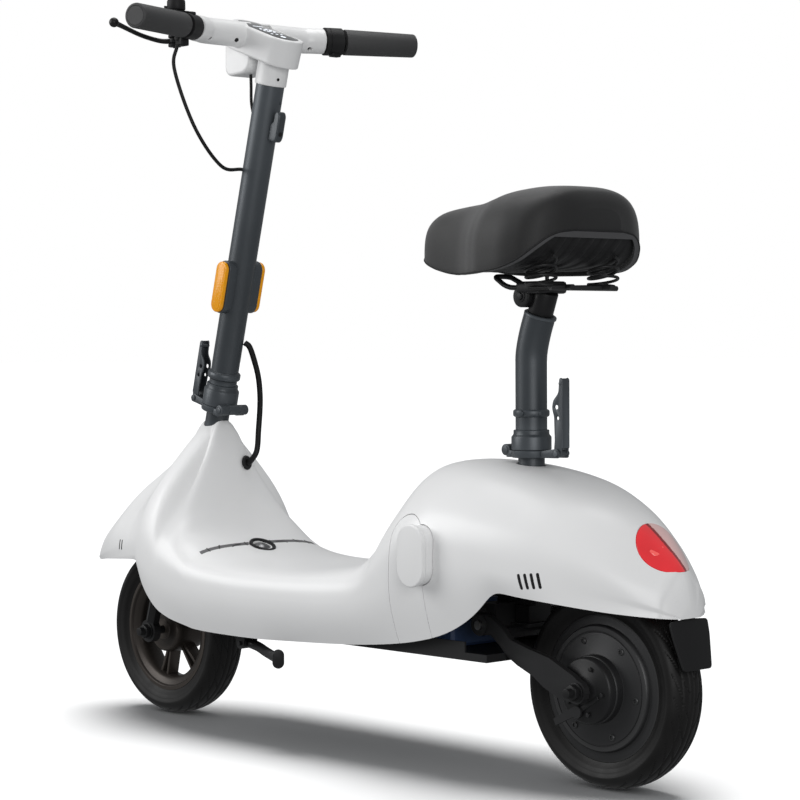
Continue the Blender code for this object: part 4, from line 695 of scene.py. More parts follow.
def skin(name, grid, thickness, offset=-1.0, closed=False):
    """A wall of even thickness behind a grid of points."""
    bm = bmesh.new()
    verts = [[bm.verts.new(place(*p)) for p in row] for row in grid]
    for lower, upper in zip(verts, verts[1:]):
        for j in range(len(lower) - 1):
            bm.faces.new((lower[j], upper[j], upper[j + 1], lower[j + 1]))
    if closed:
        bm.faces.new(verts[0])
    mesh = bpy.data.meshes.new(name)
    bm.to_mesh(mesh)
    bm.free()
    obj = add(name, mesh, angle=60)
    wall = obj.modifiers.new("wall", "SOLIDIFY")
    wall.thickness = thickness
    wall.offset = offset
    wall.use_even_offset = True
    wall.thickness_clamp = 1.0
    return obj


def span(*runs):
    stations = []
    for start, end, step in runs:
        count = max(int(round((end - start) / (step * 1.0))), 1)
        stations += list(np.linspace(start, end, count + 1)[:-1])
    return stations + [runs[-1][1]]


WALL = 0.0028
SEAM_X = 0.262
STRIP_WIDTH, STRIP_TOP = 0.061, 0.338
LAMP_AT, LAMP_TILT, LAMP_RADIUS = (-0.083, 0.305), radians(-46.0), 0.039
BUMPER_X, BUMPER_Z = 0.2035, 0.288
LOCK_AT, LOCK_TILT = (0.68, 0.2605), radians(-22)
LAMP_SPOT, LAMP_TURN = place(LAMP_AT[0], 0, LAMP_AT[1]), (0, LAMP_TILT, 0)
LOCK_SPOT, LOCK_TURN = place(LOCK_AT[0], 0, LOCK_AT[1]), (0, LOCK_TILT, 0)


def strip_outline(grow):
    x = SEAM_X - STRIP_WIDTH / 2 + REAR_AXLE_X
    r = STRIP_WIDTH / 2 + grow
    return [(x - r, 0.14), (x + r, 0.14)] + arc(x, STRIP_TOP - STRIP_WIDTH / 2, r, 0, 180, 40)


body_rows = body_grid(span((-0.1236, -0.108, 0.0016), (-0.108, 0.24, 0.006), (0.24, 0.35, 0.004),
    (0.35, 0.69, 0.01), (0.69, 0.742, 0.004), (0.742, 0.83, 0.0025), (0.83, 1.0, 0.006),
    (1.0, 1.045, 0.004)))
body_skin = skin("body_skin", eased(body_rows, 3), WALL, closed=True)


def vent_slot(hand, i, grow):
    return plate("vent", stadium(0, 0, 0.0042 + 2 * grow, 0.02 + 2 * grow), 0.04,
        at=place(0.043 - 0.0085 * i, 0.12 * hand, 0.264 + 0.0008 * i), turn=(pi / 2, radians(12), 0))


def nose_slot(hand, i, grow):
    return plate("nose_vent", stadium(0, 0, 0.003 + 2 * grow, 0.015 + 2 * grow), 0.05,
        at=place(0.853 + 0.007 * i, 0.12 * hand, 0.262))


vent_slots, nose_slots = [vent_slot] * 4, [nose_slot] * 2
tools = [rod("post_bore", 0.0195, 0.08, at=place(SEAT_POST_X, 0, 0.4)),
    rod("lamp_bore", LAMP_RADIUS + 0.0006, 0.05, sides=96, at=LAMP_SPOT, turn=LAMP_TURN),
    rod("neck_bore", 0.0181, 0.09, sides=64, at=stem_point(0.335), turn=ALONG_STEM),
    rod("lock_bore", 0.0125, 0.04, at=LOCK_SPOT), rod("cable_bore", 0.0075, 0.03, at=CABLE_ENTRY,
    turn=CABLE_NORMAL.to_track_quat("Z", "X").to_euler())]
for hand in (1, -1):
    tools.append(plate(f"window{hand}", strip_outline(0.0004), 0.2, at=(0, 0.15 * hand, 0)))
    tools.append(plate(f"way{hand}", stadium(BUMPER_X + REAR_AXLE_X, BUMPER_Z, 0.048, 0.078), 0.06,
        at=(0, 0.14 * hand, 0)))
    tools += [slot(hand, i, 0.0) for i, slot in enumerate(vent_slots)]
    tools += [slot(hand, i, 0.0) for i, slot in enumerate(nose_slots)]
body_skin = fit(cut(body_skin, *tools, angle=50), "frame", "white_plastic", "front_shell", "rear_shell")

# Dark inserts just under the face of the vent slots, the side covers and their bumpers
for hand, label in ((1, "left"), (-1, "right")):
    for where, stretch, slots in (("rear", (0.004, 0.056, 0.002), vent_slots),
            ("nose", (0.842, 0.872, 0.002), nose_slots)):
        rows = body_grid(span(stretch))
        rows = rows[:, :rows.shape[1] // 2 + 1] if hand > 0 else rows[:, rows.shape[1] // 2:]
        insert = skin(f"vent_insert_{where}_{label}", rows, 0.0018, -1.9)
        insert = boolean(insert, "INTERSECT", join("slots", *[slot(hand, i, -0.0003) for i,
            slot in enumerate(slots)]), angle=50)
        fit(insert, "frame", "black_plastic")
    cover_rows = eased(body_grid(span((0.19, SEAM_X + 0.01, 0.0035))), 2)
    cover = skin(f"side_cover_skin_{label}", cover_rows, WALL)
    cover = boolean(cover, "INTERSECT", plate("keep", strip_outline(-0.0005), 0.17, at=(0, 0.15 * hand, 0)),
        angle=50)
    pedestal = plate("pedestal", stadium(BUMPER_X + REAR_AXLE_X, BUMPER_Z, 0.0462, 0.0762), 0.021, 0.0008,
        at=(0, 0.1405 * hand, 0))
    fit(join(f"side_cover_{label}_fine", cover, pedestal, angle=50), "frame", "white_plastic",
        f"side_cover_{label}")
    pad = plate("pad", stadium(BUMPER_X + REAR_AXLE_X, BUMPER_Z, 0.048, 0.08, 32), 0.0075, 0.0022,
        segments=5, at=(0, 0.15515 * hand, 0))
    fit(join(f"side_bumper_{label}_fine", pad), "frame", "white_plastic", f"side_bumper_{label}")


# ---------------------------------------------------------------- deck mat
MAT_GAP, MAT_THICKNESS = 0.0016, 0.0045
MAT_OUTLINE = [(0.725, -0.08), (0.727, 0.0), (0.725, 0.08), (0.721, 0.092), (0.71, 0.101), (0.686, 0.109),
    (0.64, 0.115), (0.38, 0.116), (0.356, 0.112), (0.345, 0.098), (0.34, 0.06), (0.339, 0.0), (0.34, -0.06),
    (0.345, -0.098), (0.356, -0.112), (0.38, -0.116), (0.64, -0.115), (0.686, -0.109), (0.71, -0.101),
    (0.721, -0.092)]


def mat_surface():
    stations = span((0.338, 0.727, 0.0022))
    rows = []
    across = 132
    for x in stations:
        half = np.array(half_section(x, 2, 40, 60)[2:])
        ys, zs = half[::-1, 0], half[::-1, 1]
        row = []
        for y in np.linspace(-0.12, 0.12, across):
            row.append((x, y, float(np.interp(abs(y), ys, zs))))
        rows.append(row)
    return np.array(rows)


grid = eased(mat_surface(), 4)
mat = skin("deck_mat_fine", grid, MAT_THICKNESS, 1 + 2 * MAT_GAP / MAT_THICKNESS)
mat = settle(mat)
outline = [(x + REAR_AXLE_X, y) for x, y in MAT_OUTLINE]
outline = rounded(outline, 0.012, 4)
mat = boolean(mat, "INTERSECT", plate("trim", outline, 0.3, at=(0, 0, 0.3), turn=(0, 0, 0)))
mat = cut(mat, rod("mat_bore", 0.0205, 0.05, at=place(LOCK_AT[0], 0, LOCK_AT[1] + 0.002), turn=LOCK_TURN))
mat = fit(mat, "frame", "mat_rubber", "deck_mat")


def groove_shade_line(bm, points, width):
    """A dark line laid on the mat's face: painted shade where a groove is, with no groove cut."""
    bpy.context.view_layer.update()
    path = smooth_path([Vector((x, y, 0)) for x, y in points], 70)
    rows = []
    for i, p in enumerate(path):
        ahead = (path[min(i + 1, len(path) - 1)] - path[max(i - 1, 0)]).normalized()
        side = Vector((-ahead.y, ahead.x, 0)) * width / 2
        row = []
        for q in (p + side, p - side):
            hit, at, normal, _ = mat.ray_cast(Vector((q.x + REAR_AXLE_X, q.y, 0.6)), Vector((0, 0, -1)))
            row.append(at + normal * 0.00012 if hit and normal.z > 0.3 else None)
        rows.append(row)
    last = None
    for row in rows:
        here = None if None in row else [bm.verts.new(p) for p in row]
        if last and here:
            bm.faces.new((last[0], here[0], here[1], last[1]))
        last = here


# Painted shade: dark lines laid on the mat stand for the shade in its grooves.
groove_shades = bmesh.new()
for hand in (1, -1):
    for i in range(4):
        wide, front = 0.044 + 0.0165 * i, 0.6745 + 0.0132 * i
        line_points = [(front + 0.001, 0.032 + 0.001 * i), (front - 0.001, 0.015 + wide * 0.55),
            (front - 0.012, wide * 0.95), (front - 0.032, wide), (0.62, wide * 0.985), (0.58, wide * 0.95),
            (0.52, wide * 0.9), (0.45, wide * 0.87), (0.385 + 0.006 * i, wide * 0.85)]
        groove_shade_line(groove_shades, [(x, y * hand) for x, y in line_points], 0.0019)
        middle = wide - 0.009
        line_points = [(0.612 - 0.006 * i, middle * 0.975), (0.57, middle * 0.94), (0.51, middle * 0.89),
            (0.445, middle * 0.865), (0.39 + 0.006 * i, middle * 0.85)]
        groove_shade_line(groove_shades, [(x, y * hand) for x, y in line_points], 0.0015)
    groove_shade_line(groove_shades, [(0.7235, 0.017 * hand), (0.706, 0.0215 * hand), (0.69, 0.0238 * hand),
        (0.672, 0.025 * hand), (0.65, 0.0262 * hand), (0.61, 0.028 * hand), (0.54, 0.029 * hand),
        (0.46, 0.029 * hand), (0.392, 0.028 * hand)], 0.0021)
for offset in (0.0, 0.0096, -0.0096, 0.0192, -0.0192):
    groove_shade_line(groove_shades, [(0.616 - abs(offset) * 0.6, offset), (0.54, offset * 1.05), (0.46, offset * 1.05),
        (0.39, offset * 1.0)], 0.0015)
bmesh.ops.solidify(groove_shades, geom=list(groove_shades.faces), thickness=0.0001)
fit(settle(from_bmesh("mat_groove_shade", groove_shades)), "frame", "mat_rubber", finish="groove")

lock_cap = turned("lock_cap", ((0.0, 0.006), (0.003, 0.00585), (0.006, 0.0052), (0.0095, 0.0036),
    (0.0112, 0.0018), (0.0118, 0.0002), (0.0118, -0.014), (0.0, -0.014)), at=LOCK_SPOT, turn=LOCK_TURN)
lock_cap = cut(settle(lock_cap), box("keyway", (0.008, 0.0016, 0.004),
    at=place(LOCK_AT[0] + 0.0022, 0, LOCK_AT[1] + 0.0068), turn=LOCK_TURN))
fit(lock_cap, "lock", "steel", "lock_core")
bezel = turned("lock_bezel", ((0.0145, 0.003), (0.0165, 0.0052), (0.019, 0.0052), (0.02, 0.0035),
    (0.02, 0.0), (0.0145, 0.0)), at=place(LOCK_AT[0], 0, LOCK_AT[1] + 0.0008), turn=LOCK_TURN)
fit(bezel, "frame", "black_plastic")


# ---------------------------------------------------------------- wheels
def groove(distance, width):
    return np.exp(-(distance / width) ** 2)


def tyre_profile(a):
    c = abs(cos(radians(a)))
    r = WHEEL_RADIUS - 0.0185 + 0.0185 * c ** 0.75 * (1 if abs(a) < 90 else -1)
    y = TYRE_HALF_WIDTH * sin(radians(a)) * (1.0 if abs(a) < 90 else 0.93)
    return max(r, RIM_RADIUS + 0.0025), y


def tread(theta, s):
    """Tread groove depth, 0 to 1, at an angle round the tyre and a share of its half width."""
    pitch = 2 * pi / 26
    side = np.abs(s)
    shift = 0.5 * (s < 0)
    curve = 0.62 * side ** 1.6
    phase = (theta + curve) / pitch + shift
    off = (phase - np.round(phase)) * pitch * WHEEL_RADIUS
    sweep = groove(off, 0.0013) * (side > 0.16) * (side < 0.86)
    ring = groove((side - 0.5) * TYRE_HALF_WIDTH, 0.0011)
    line_near = groove((side - 0.14) * TYRE_HALF_WIDTH, 0.001)
    return np.maximum(np.maximum(sweep, ring * 0.9), line_near * 0.9)


def tyre(name, at, body, node):
    steps = 640
    angles = np.concatenate([np.linspace(-118, -84, 9)[:-1], np.linspace(-84, 84, 54)[:-1],
        np.linspace(84, 118, 9)])
    bm = bmesh.new()
    inner = RIM_RADIUS + 0.0005
    outline = [(inner, -0.0225, 9.0)] + [(*tyre_profile(a), a) for a in angles] + [(inner, 0.0225, 9.0)]
    theta = np.linspace(0, 2 * pi, steps, endpoint=False)
    rings = []
    for r, y, a in outline:
        depth = tread(theta, np.full(steps, y / TYRE_HALF_WIDTH)) if abs(
            a) < 72 and r > inner + 0.003 else np.zeros(steps)
        bead = 0.0007 * exp(-((abs(y) - 0.0285) / 0.0012) ** 2) if r < 0.104 else 0.0
        radii = r - 0.0017 * depth + bead
        rings.append([bm.verts.new((rr * cos(t), y, rr * sin(t))) for rr, t in zip(radii, theta)])
    rings.append(rings[0])
    for one, two in zip(rings, rings[1:]):
        for k in range(steps):
            bm.faces.new((one[k], one[(k + 1) % steps], two[(k + 1) % steps], two[k]))
    fit(from_bmesh(name, bm, at=at, angle=50), body, "tyre_rubber", node)


FRONT_AXLE = place(WHEELBASE, 0, WHEEL_RADIUS)
REAR_AXLE = place(0, 0, WHEEL_RADIUS)
tyre("front_tyre_fine", FRONT_AXLE, "front_wheel", "front_tyre")
tyre("rear_tyre_fine", REAR_AXLE, "rear_wheel", "rear_tyre")

rim_parts = [turned("rim_ring", ((RIM_RADIUS, 0.023), (RIM_RADIUS, -0.023),
    *mirrored(((0.09, -0.0236), (0.0872, -0.0236), (0.0855, -0.0222), (0.0845, -0.0205), (0.078, -0.0185),
    (0.0745, -0.016), (0.0725, -0.011), (0.0715, -0.005)))), steps=120, at=FRONT_AXLE, turn=ALONG_Y)]
for i in range(6):
    for lean in (-5.5, 5.5):
        turn = radians(60 * i + 12 + lean)
        spoke = box("spoke", (0.044, 0.02, 0.0046), 0.0012, turn=(0, turn, 0))
        spoke.location = FRONT_AXLE + Matrix.Rotation(turn, 3, "Y") @ Vector((0.053, 0, 0))
        rim_parts.append(spoke)
    turn = radians(60 * i + 12)
    web = box("web", (0.04, 0.006, 0.012), 0.001, turn=(0, turn, 0))
    web.location = FRONT_AXLE + Matrix.Rotation(turn, 3, "Y") @ Vector((0.055, 0, 0))
    rim_parts.append(web)
rim_parts.append(turned("hub", mirrored(((0.0064, 0.03), (0.015, 0.03), (0.0165, 0.0285), (0.031, 0.0285),
    (0.033, 0.0265), (0.035, 0.018))), at=FRONT_AXLE, turn=ALONG_Y))
fit(join("front_rim_fine", *rim_parts), "front_wheel", "rim_alloy", "front_rim")

motor_parts = [turned("cover", ((0.0065, 0.044), (0.0405, 0.044), (0.042, 0.0436), (0.0428, 0.0424),
    (0.043, 0.041), (0.043, 0.0318), (0.0445, 0.031), (0.069, 0.0304), (0.0702, 0.0299), (0.0706, 0.029),
    (0.0716, 0.029), (0.0722, 0.0298), (0.0775, 0.0296), (0.079, 0.0282), (0.08, 0.0243), (0.0815, 0.0238),
    (0.088, 0.0238), (0.09, 0.0234), (RIM_RADIUS, 0.0225), (RIM_RADIUS, -0.0225), (0.09, -0.0234),
    (0.0815, -0.0238), (0.079, -0.03), (0.076, -0.0312), (0.04, -0.034), (0.02, -0.036), (0.0065, -0.036)),
    steps=120, at=REAR_AXLE, turn=(-pi / 2, 0, 0))]
for i in range(6):
    a = radians(60 * i + 8)
    for hand, level_y in ((1, 0.03), (-1, -0.0318)):
        spot = REAR_AXLE + Vector((0.0625 * cos(a), level_y, 0.0625 * sin(a)))
        facing = (-pi / 2 * hand, 0, 0)
        motor_parts.append(turned("boss", ((0.0, 0.0012), (0.0022, 0.0012), (0.0026, 0.0024),
            (0.0034, 0.0024), (0.0042, 0.0016), (0.0044, -0.001), (0.0, -0.001)), steps=32, at=spot,
            turn=facing))
        rib = box("rib", (0.02, 0.0014, 0.0014), 0.0005, turn=(0, -a, 0))
        rib.location = REAR_AXLE + Vector((0.053 * cos(a + 0.05), level_y, 0.053 * sin(a + 0.05)))
        motor_parts.append(rib)
fit(join("hub_motor_fine", *motor_parts), "rear_wheel", "motor_alloy", "hub_motor")

plate_parts = [turned("brake_disc", ((0.0063, 0.006), (0.02, 0.006), (0.0215, 0.005), (0.038, 0.005),
    (0.0398, 0.0042), (0.0415, 0.002), (0.0415, -0.006), (0.0063, -0.006)), steps=96,
    at=REAR_AXLE + Vector((0, 0.0506, 0)), turn=(-pi / 2, 0, 0))]
for i in range(5):
    a = radians(72 * i + 40)
    plate_parts.append(rod("stud", 0.003, 0.004, sides=6, bevel=0.0004,
        at=REAR_AXLE + Vector((0.03 * cos(a), 0.0566, 0.03 * sin(a))), turn=ALONG_Y))
plate_parts.append(box("rib", (0.046, 0.003, 0.006), 0.001, at=REAR_AXLE + Vector((-0.004, 0.0562, -0.018)),
    turn=(0, radians(32), 0)))
fit(join("brake_plate_fine", *plate_parts), "swing", "black_steel", "brake_plate")


def axle(name, at, half, nut_inner, body, node):
    parts = [rod("shaft", 0.006, 2 * half, bevel=0.0006, at=at, turn=ALONG_Y)]
    for hand in (1, -1):
        parts.append(rod("nut", 0.0105, 0.008, sides=6, bevel=0.0008,
            at=at + Vector((0, (nut_inner + 0.005) * hand, 0)), turn=ALONG_Y))
        parts.append(rod("washer", 0.012, 0.0012, bevel=0.0003,
            at=at + Vector((0, (nut_inner + 0.0008) * hand, 0)), turn=ALONG_Y))
    fit(join(name, *parts), body, "steel", node, finish="black_steel")


axle("front_axle_fine", FRONT_AXLE, 0.075, 0.0583, "steering", "front_axle")
axle("rear_axle_fine", REAR_AXLE, 0.09, 0.0722, "swing", "rear_axle")


# ---------------------------------------------------------------- stem
def stem_turned(name, profile, steps=72):
    return turned(name, profile, steps, at=stem_point(0), turn=ALONG_STEM)


RING_RADIUS, STEM_TOP = 0.0242, 0.83
STEM_BOTTOM = STEM_JOINT_UP + 0.0324
stem_parts = [stem_turned("tube", ((0.017, STEM_TOP), (STEM_RADIUS, STEM_TOP), (STEM_RADIUS, 0.403),
    (0.0212, 0.4022), (0.0232, 0.4012), (RING_RADIUS, 0.3996), (RING_RADIUS, 0.3936), (0.0232, 0.3918),
    (0.0212, 0.3908), (STEM_RADIUS, 0.39), (STEM_RADIUS, STEM_BOTTOM), (0.017, STEM_BOTTOM)), 96)]
for hand, label in ((1, "left"), (-1, "right")):
    stem_parts.append(plate("pad", stadium(0, 0, 0.026, 0.078), 0.016, 0.0016,
        at=stem_point(0.53, 0, 0.023 * hand), turn=BESIDE_STEM))
    lens_plate = plate("lens", stadium(0, 0, 0.024, 0.075), 0.006, 0.0022, segments=4,
        at=stem_point(0.53, 0, 0.03435 * hand), turn=BESIDE_STEM)
    lens_inner = plate("lens_inner", stadium(0, 0, 0.0165, 0.067), 0.0006, 0.0003,
        at=stem_point(0.53, 0, 0.03755 * hand), turn=BESIDE_STEM)
    fit(join(f"reflector_{label}_fine", lens_plate, lens_inner), "stem", "amber_lens", f"reflector_{label}")
for along, turn_about in ((0.806, 205), (0.778, 215), (0.3965, 160), (0.3965, 40)):
    a = radians(turn_about)
    stem_parts.append(rod("stem_screw", 0.0026, 0.0024, bevel=0.0005, sides=24,
        at=stem_point(along, 0.0204 * cos(a), 0.0204 * sin(a)),
        turn=Vector((cos(a) * cos(STEM_LEAN), sin(a), cos(a) * sin(STEM_LEAN))).to_track_quat("Z",
        "Y").to_euler()))
fit(join("stem_tube_fine", *stem_parts), "stem", "slate_paint", "stem_tube")

hook_outline = rounded([(-0.0208, -0.018), (-0.0208, 0.006), (-0.0265, 0.01), (-0.0265, 0.021),
    (-0.03, 0.0255), (-0.0355, 0.0255), (-0.039, 0.02), (-0.039, -0.012), (-0.035, -0.019)], 0.004)
hook = plate("hook", hook_outline, 0.0138, 0.0026, at=stem_point(0.77), turn=BESIDE_STEM, segments=4)
hook_screw = rod("hook_screw", 0.0034, 0.0016, bevel=0.0004, at=stem_point(0.764, -0.0388, 0),
    turn=BEHIND_STEM)
fit(join("bag_hook_fine", hook), "stem", "slate_paint", "bag_hook")
fit(hook_screw, "stem", "black_steel")


def fold_set(prefix, at, turn, reach, half, collar_top, neck_low, out, lower_body, upper_body, lever_body,
        tall):
    """The looks of a fold joint: lower cup, upper collar, pin, ears and latch lever."""
    base_frame = Matrix.LocRotScale(Vector(at), Matrix.Rotation(turn[1], 3,
        "Y") if turn[1] else Matrix.Rotation(turn[2], 3, "Z"), None)

    def local(piece, x=0.0, y=0.0, z=0.0, spin=0.0):
        piece.matrix_world = base_frame @ Matrix.Translation((x, y, z)) @ Matrix.Rotation(spin, 4, "X")
        return piece

    base = [local(turned("cup", ((0.0172, neck_low), (0.0172, -0.01), (0.0245, -0.0098), (0.0256, -0.009),
        (0.026, -0.008), (0.026, -0.001), (0.0254, -0.0003), (0.0154, -0.0003), (0.0154, neck_low))))]
    upper = [local(turned("collar", ((0.0, collar_top), (0.0226, collar_top), (0.0232, collar_top - 0.0006),
        (0.0232, collar_top - 0.005), (0.024, collar_top - 0.0066), (0.0256, collar_top - 0.0084),
        (0.026, collar_top - 0.0096), (0.026, 0.001), (0.0254, 0.0003), (0.0, 0.0003))))]
    ends = (half + 0.0095) / 2
    for hand in (1, -1):
        base.append(local(rod("knuckle", 0.0075, half - 0.0097, bevel=0.0008), -reach, ends * hand, 0,
            pi / 2))
        base.append(local(box("web", (0.012, half - 0.0099, 0.009), 0.001), 0.007 - reach, ends * hand,
            -0.005))
        base.append(local(rod("bolt", 0.0048, 0.0024, sides=6 if hand > 0 else 32, bevel=0.0005), -reach,
            (half - 0.0002) * hand, 0, pi / 2))
        base.append(local(plate("ear", rounded([(0.02, -0.0095), (out + 0.0046, -0.009),
            (out + 0.005, -0.0012), (out + 0.001, 0.0032), (0.025, -0.0004)], 0.003), 0.0024, 0.0006,
            at=(0, 0, 0), turn=(0, 0, 0)), 0, 0.0086 * hand, 0, pi / 2))
        base.append(local(rod("ear_bolt", 0.0042, 0.002, sides=6 if hand < 0 else 32, bevel=0.0004), out,
            0.0104 * hand, -0.003, pi / 2))
    upper.append(local(rod("middle", 0.0075, 0.0184, bevel=0.0006), -reach, 0, 0, pi / 2))
    upper.append(local(box("tab", (0.014, 0.0182, 0.0068), 0.001), 0.008 - reach, 0, 0.0041))
    fit(join(f"{prefix}_base_fine", *base), lower_body, "slate_paint", f"{prefix}_base")
    fit(join(f"{prefix}_collar_fine", *upper), upper_body, "slate_paint", f"{prefix}_collar")
    wing = rounded([(0.0035, -0.006), (0.007, 0.0), (0.0085, 0.03), (0.0085, tall), (0.006, tall + 0.004),
        (0.003, tall + 0.002), (0.0015, tall - 0.016), (-0.008, tall - 0.026), (-0.0095, tall - 0.036),
        (-0.006, tall - 0.046), (-0.005, 0.014), (-0.0065, -0.002), (-0.003, -0.007)], 0.004)
    rounds = [arc(-0.0018, tall - 0.034, 0.003, 0, 360, 21)[:-1],
        arc(0.0004, tall - 0.048, 0.0024, 0, 360, 17)[:-1]]
    lever = []
    for hand in (1, -1):
        lever.append(local(plate("wing", wing, 0.002, 0.0005, turn=(0, 0, 0), holes=rounds), out,
            0.006 * hand, 0, pi / 2))
    spine = [(0.0068, 0.004), (0.0085, 0.004), (0.0087, 0.03), (0.0087, tall + 0.001),
        (0.007, tall + 0.003), (0.0068, 0.03)]
    lever.append(local(plate("spine", spine, 0.0136, 0.0005, turn=(0, 0, 0)), out, 0, 0, pi / 2))
    lever.append(local(rod("barrel", 0.0046, 0.0136, bevel=0.0005), out, 0, -0.003, pi / 2))
    lever.append(local(rod("top_pin", 0.0026, 0.015, bevel=0.0005), out + 0.0048, 0, tall - 0.004, pi / 2))
    fit(join(f"{prefix}_latch_fine", *lever), lever_body, "slate_paint", f"{prefix}_latch")


STEM_JOINT = stem_point(STEM_JOINT_UP)
SEAT_JOINT = place(SEAT_POST_X, 0, SEAT_JOINT_HEIGHT)
fold_set("stem", STEM_JOINT, ALONG_STEM, 0.0306, 0.0255, 0.032, -0.0349, 0.05, "steering", "stem",
    "stem_lever", 0.08)
fold_set("seat", SEAT_JOINT, (0, 0, pi), 0.03, 0.0175, 0.026, -0.115, 0.052, "frame", "seat", "seat_lever",
    0.09)

# ---------------------------------------------------------------- head, arms and display
head_outline = arc(0.04, 0, 0.0275, -90, 90, 32) + arc(-0.04, 0, 0.0275, 90, 270, 32)
HEAD_TURN = (0, -HEAD_PITCH, 0)
HEAD_UP = Vector((-sin(HEAD_PITCH), 0, cos(HEAD_PITCH)))
head_at = place(HEAD_CENTRE[0], 0, HEAD_CENTRE[1])
head_parts = [plate("slab", head_outline, 0.04, 0.0012, at=head_at, turn=HEAD_TURN)]
ARM_LINE = ((0.6915, 0.01), (0.691, 0.085), (0.683, 0.105), (0.6765, 0.121))
for hand in (1, -1):
    head_parts.append(tube("arm", smooth_path([bar_point(x, y * hand) for x, y in ARM_LINE], 24), 0.0187,
        40))
head = melt("head_shell", 0.0012, 4, *head_parts)


def well(name, radius, depth, thickness):
    """A stadium cut parallel to the head's top face, its middle that far below the top."""
    return plate(name, arc(0.036, 0, radius, -90, 90, 24) + arc(-0.036, 0, radius, 90, 270, 24), thickness,
        at=head_at + HEAD_UP * depth, turn=HEAD_TURN)


right_side = [bar_point(x, -y) for x, y in reversed(BAR_POINTS[1:])]
left_side = [bar_point(x, y) for x, y in BAR_POINTS]
head = cut(head, well("display_well", 0.0225, 0.02, 0.006))
for hand in (1, -1):
    for y, z, x in ((0.044, -0.012, 0.015), (0.094, -0.0115, 0.0135)):
        spot = bar_point(0.691 - x, y * hand, z)
        head = cut(head, rod("recess", 0.0034, 0.012, sides=32, at=spot, turn=(0, radians(50), 0)))
        fit(rod(f"arm_screw_{'left' if hand > 0 else 'right'}_{'in' if y < 0.06 else 'out'}", 0.003, 0.008,
            bevel=0.0004, at=spot + Vector((0.003, 0, 0.0026)), turn=(0, radians(50), 0)), "stem",
            "black_steel")
fit(head, "stem", "white_plastic", "head_housing")
pod_outline = [(0.0215, 0.029), (-0.03, 0.029)] + arc(-0.013, 0.004, 0.0215, 180, 270, 14) + arc(0.0085,
    -0.006, 0.013, 270, 360, 10)
pod_parts = [plate("pod", pod_outline, 0.046, 0.004, at=place(0.7085, 0, 0.964), segments=5),
    stem_turned("neck", ((0.0, 0.878), (0.0229, 0.878), (0.0229, 0.829), (0.0, 0.829)))]
pod = melt("head_pod", 0.0012, 3, *pod_parts)
pod = cut(pod, rod("lamp_socket", 0.0162, 0.01, sides=64, turn=(0, pi / 2, 0), at=place(0.73, 0, 0.964)),
    rod("neck_bore", STEM_RADIUS + 0.0002, 0.05, sides=64, at=stem_point(0.81), turn=ALONG_STEM))
fit(pod, "stem", "white_plastic")
collar_screw = rod("neck_screw", 0.0022, 0.0016, bevel=0.0004, at=stem_point(0.84, -0.0222, 0.006),
    turn=BEHIND_STEM)
fit(collar_screw, "stem", "black_steel")

glass = plate("glass", arc(0.036, 0, 0.0221, -90, 90, 32) + arc(-0.036, 0, 0.0221, 90, 270, 32), 0.0026,
    0.0005, at=head_at + HEAD_UP * 0.0186, turn=HEAD_TURN)
fit(join("display_fine", glass), "stem", "display_glass", "display")


def icon(name, outline, u, v):
    """A lit mark on the display, its outline in the display's own plane."""
    deck = head_at + HEAD_UP * 0.01995
    along = Vector((cos(HEAD_PITCH), 0, sin(HEAD_PITCH)))
    return plate(name, outline, 0.00012, at=deck + along * u + Vector((0, v, 0)), turn=HEAD_TURN)


icons = []
SEGMENT = {"h": [(-0.0012, -0.0034), (0.0, -0.004), (0.0012, -0.0034), (0.0012, 0.0034), (0.0, 0.004),
    (-0.0012, 0.0034)], "v": [(-0.0034, -0.0012), (0.0034, -0.0012), (0.004, 0.0), (0.0034, 0.0012),
    (-0.0034, 0.0012), (-0.004, 0.0)]}
for digit_v in (0.0055, -0.0055):
    for u in (0.01, 0.001, -0.008):
        icons.append(icon("bar", [(x * 0.7, y * 0.75) for x, y in SEGMENT["h"]], u, digit_v))
    for u in (0.0055, -0.0035):
        for v in (0.0036, -0.0036):
            icons.append(icon("bar", [(x * 0.75, y * 0.7) for x, y in SEGMENT["v"]], u, digit_v + v))
for k in range(5):
    icons.append(icon("charge", [(-0.0014, -0.0012), (0.0014, -0.0012), (0.0014, 0.0012),
        (-0.0014, 0.0012)], 0.024, 0.0075 - 0.00375 * k))
for v in (0.009, 0.0, -0.009):
    icons.append(icon("dot", arc(0, 0, 0.0021, 0, 360, 19)[:-1], -0.021, v))
icons.append(icon("ring", arc(0, 0, 0.0042, 0, 360, 25)[:-1], -0.036, 0.0))
fit(join("display_icons", *icons), "stem", "display_glass", finish="icon")

lamp_glass = turned("lamp_glass", ((0.0, 0.7345), (0.006, 0.7343), (0.011, 0.7335), (0.0145, 0.7318),
    (0.0155, 0.7306), (0.0155, 0.7256), (0.0, 0.7256)), at=place(0, 0, 0.964), turn=(0, pi / 2, 0))
fit(join("headlamp_fine", lamp_glass), "stem", "clear_lens", "headlamp")
bar_fine = tube("bar_fine", smooth_path(right_side + left_side, 80), BAR_RADIUS, 32)
fit(join("handlebar_fine", bar_fine), "stem", "black_steel", "handlebar")

# ---------------------------------------------------------------- grips and controls
grip_at, grip_turn = bar_frame(3, 0.5, 1)
throttle_at, throttle_turn = bar_frame(3, 0.5, -1)


def grip(name, at, turn, inner_radius, body, node):
    profile = [(0.0, 0.0596), (0.013, 0.0596), (0.0136, 0.059), (0.0142, 0.0596), (0.0158, 0.0595),
        (0.017, 0.0586), (0.0174, 0.0572), (inner_radius - (inner_radius - 0.0174) * 0.45, 0.0),
        (inner_radius, -0.054), (inner_radius - 0.0006, -0.0556), (inner_radius - 0.0014, -0.056),
        (0.0114, -0.056), (0.0114, 0.0575), (0.0, 0.0575)]
    fit(join(name, turned("grip", profile, 96, at=at, turn=turn)), body, "grip_rubber", node)


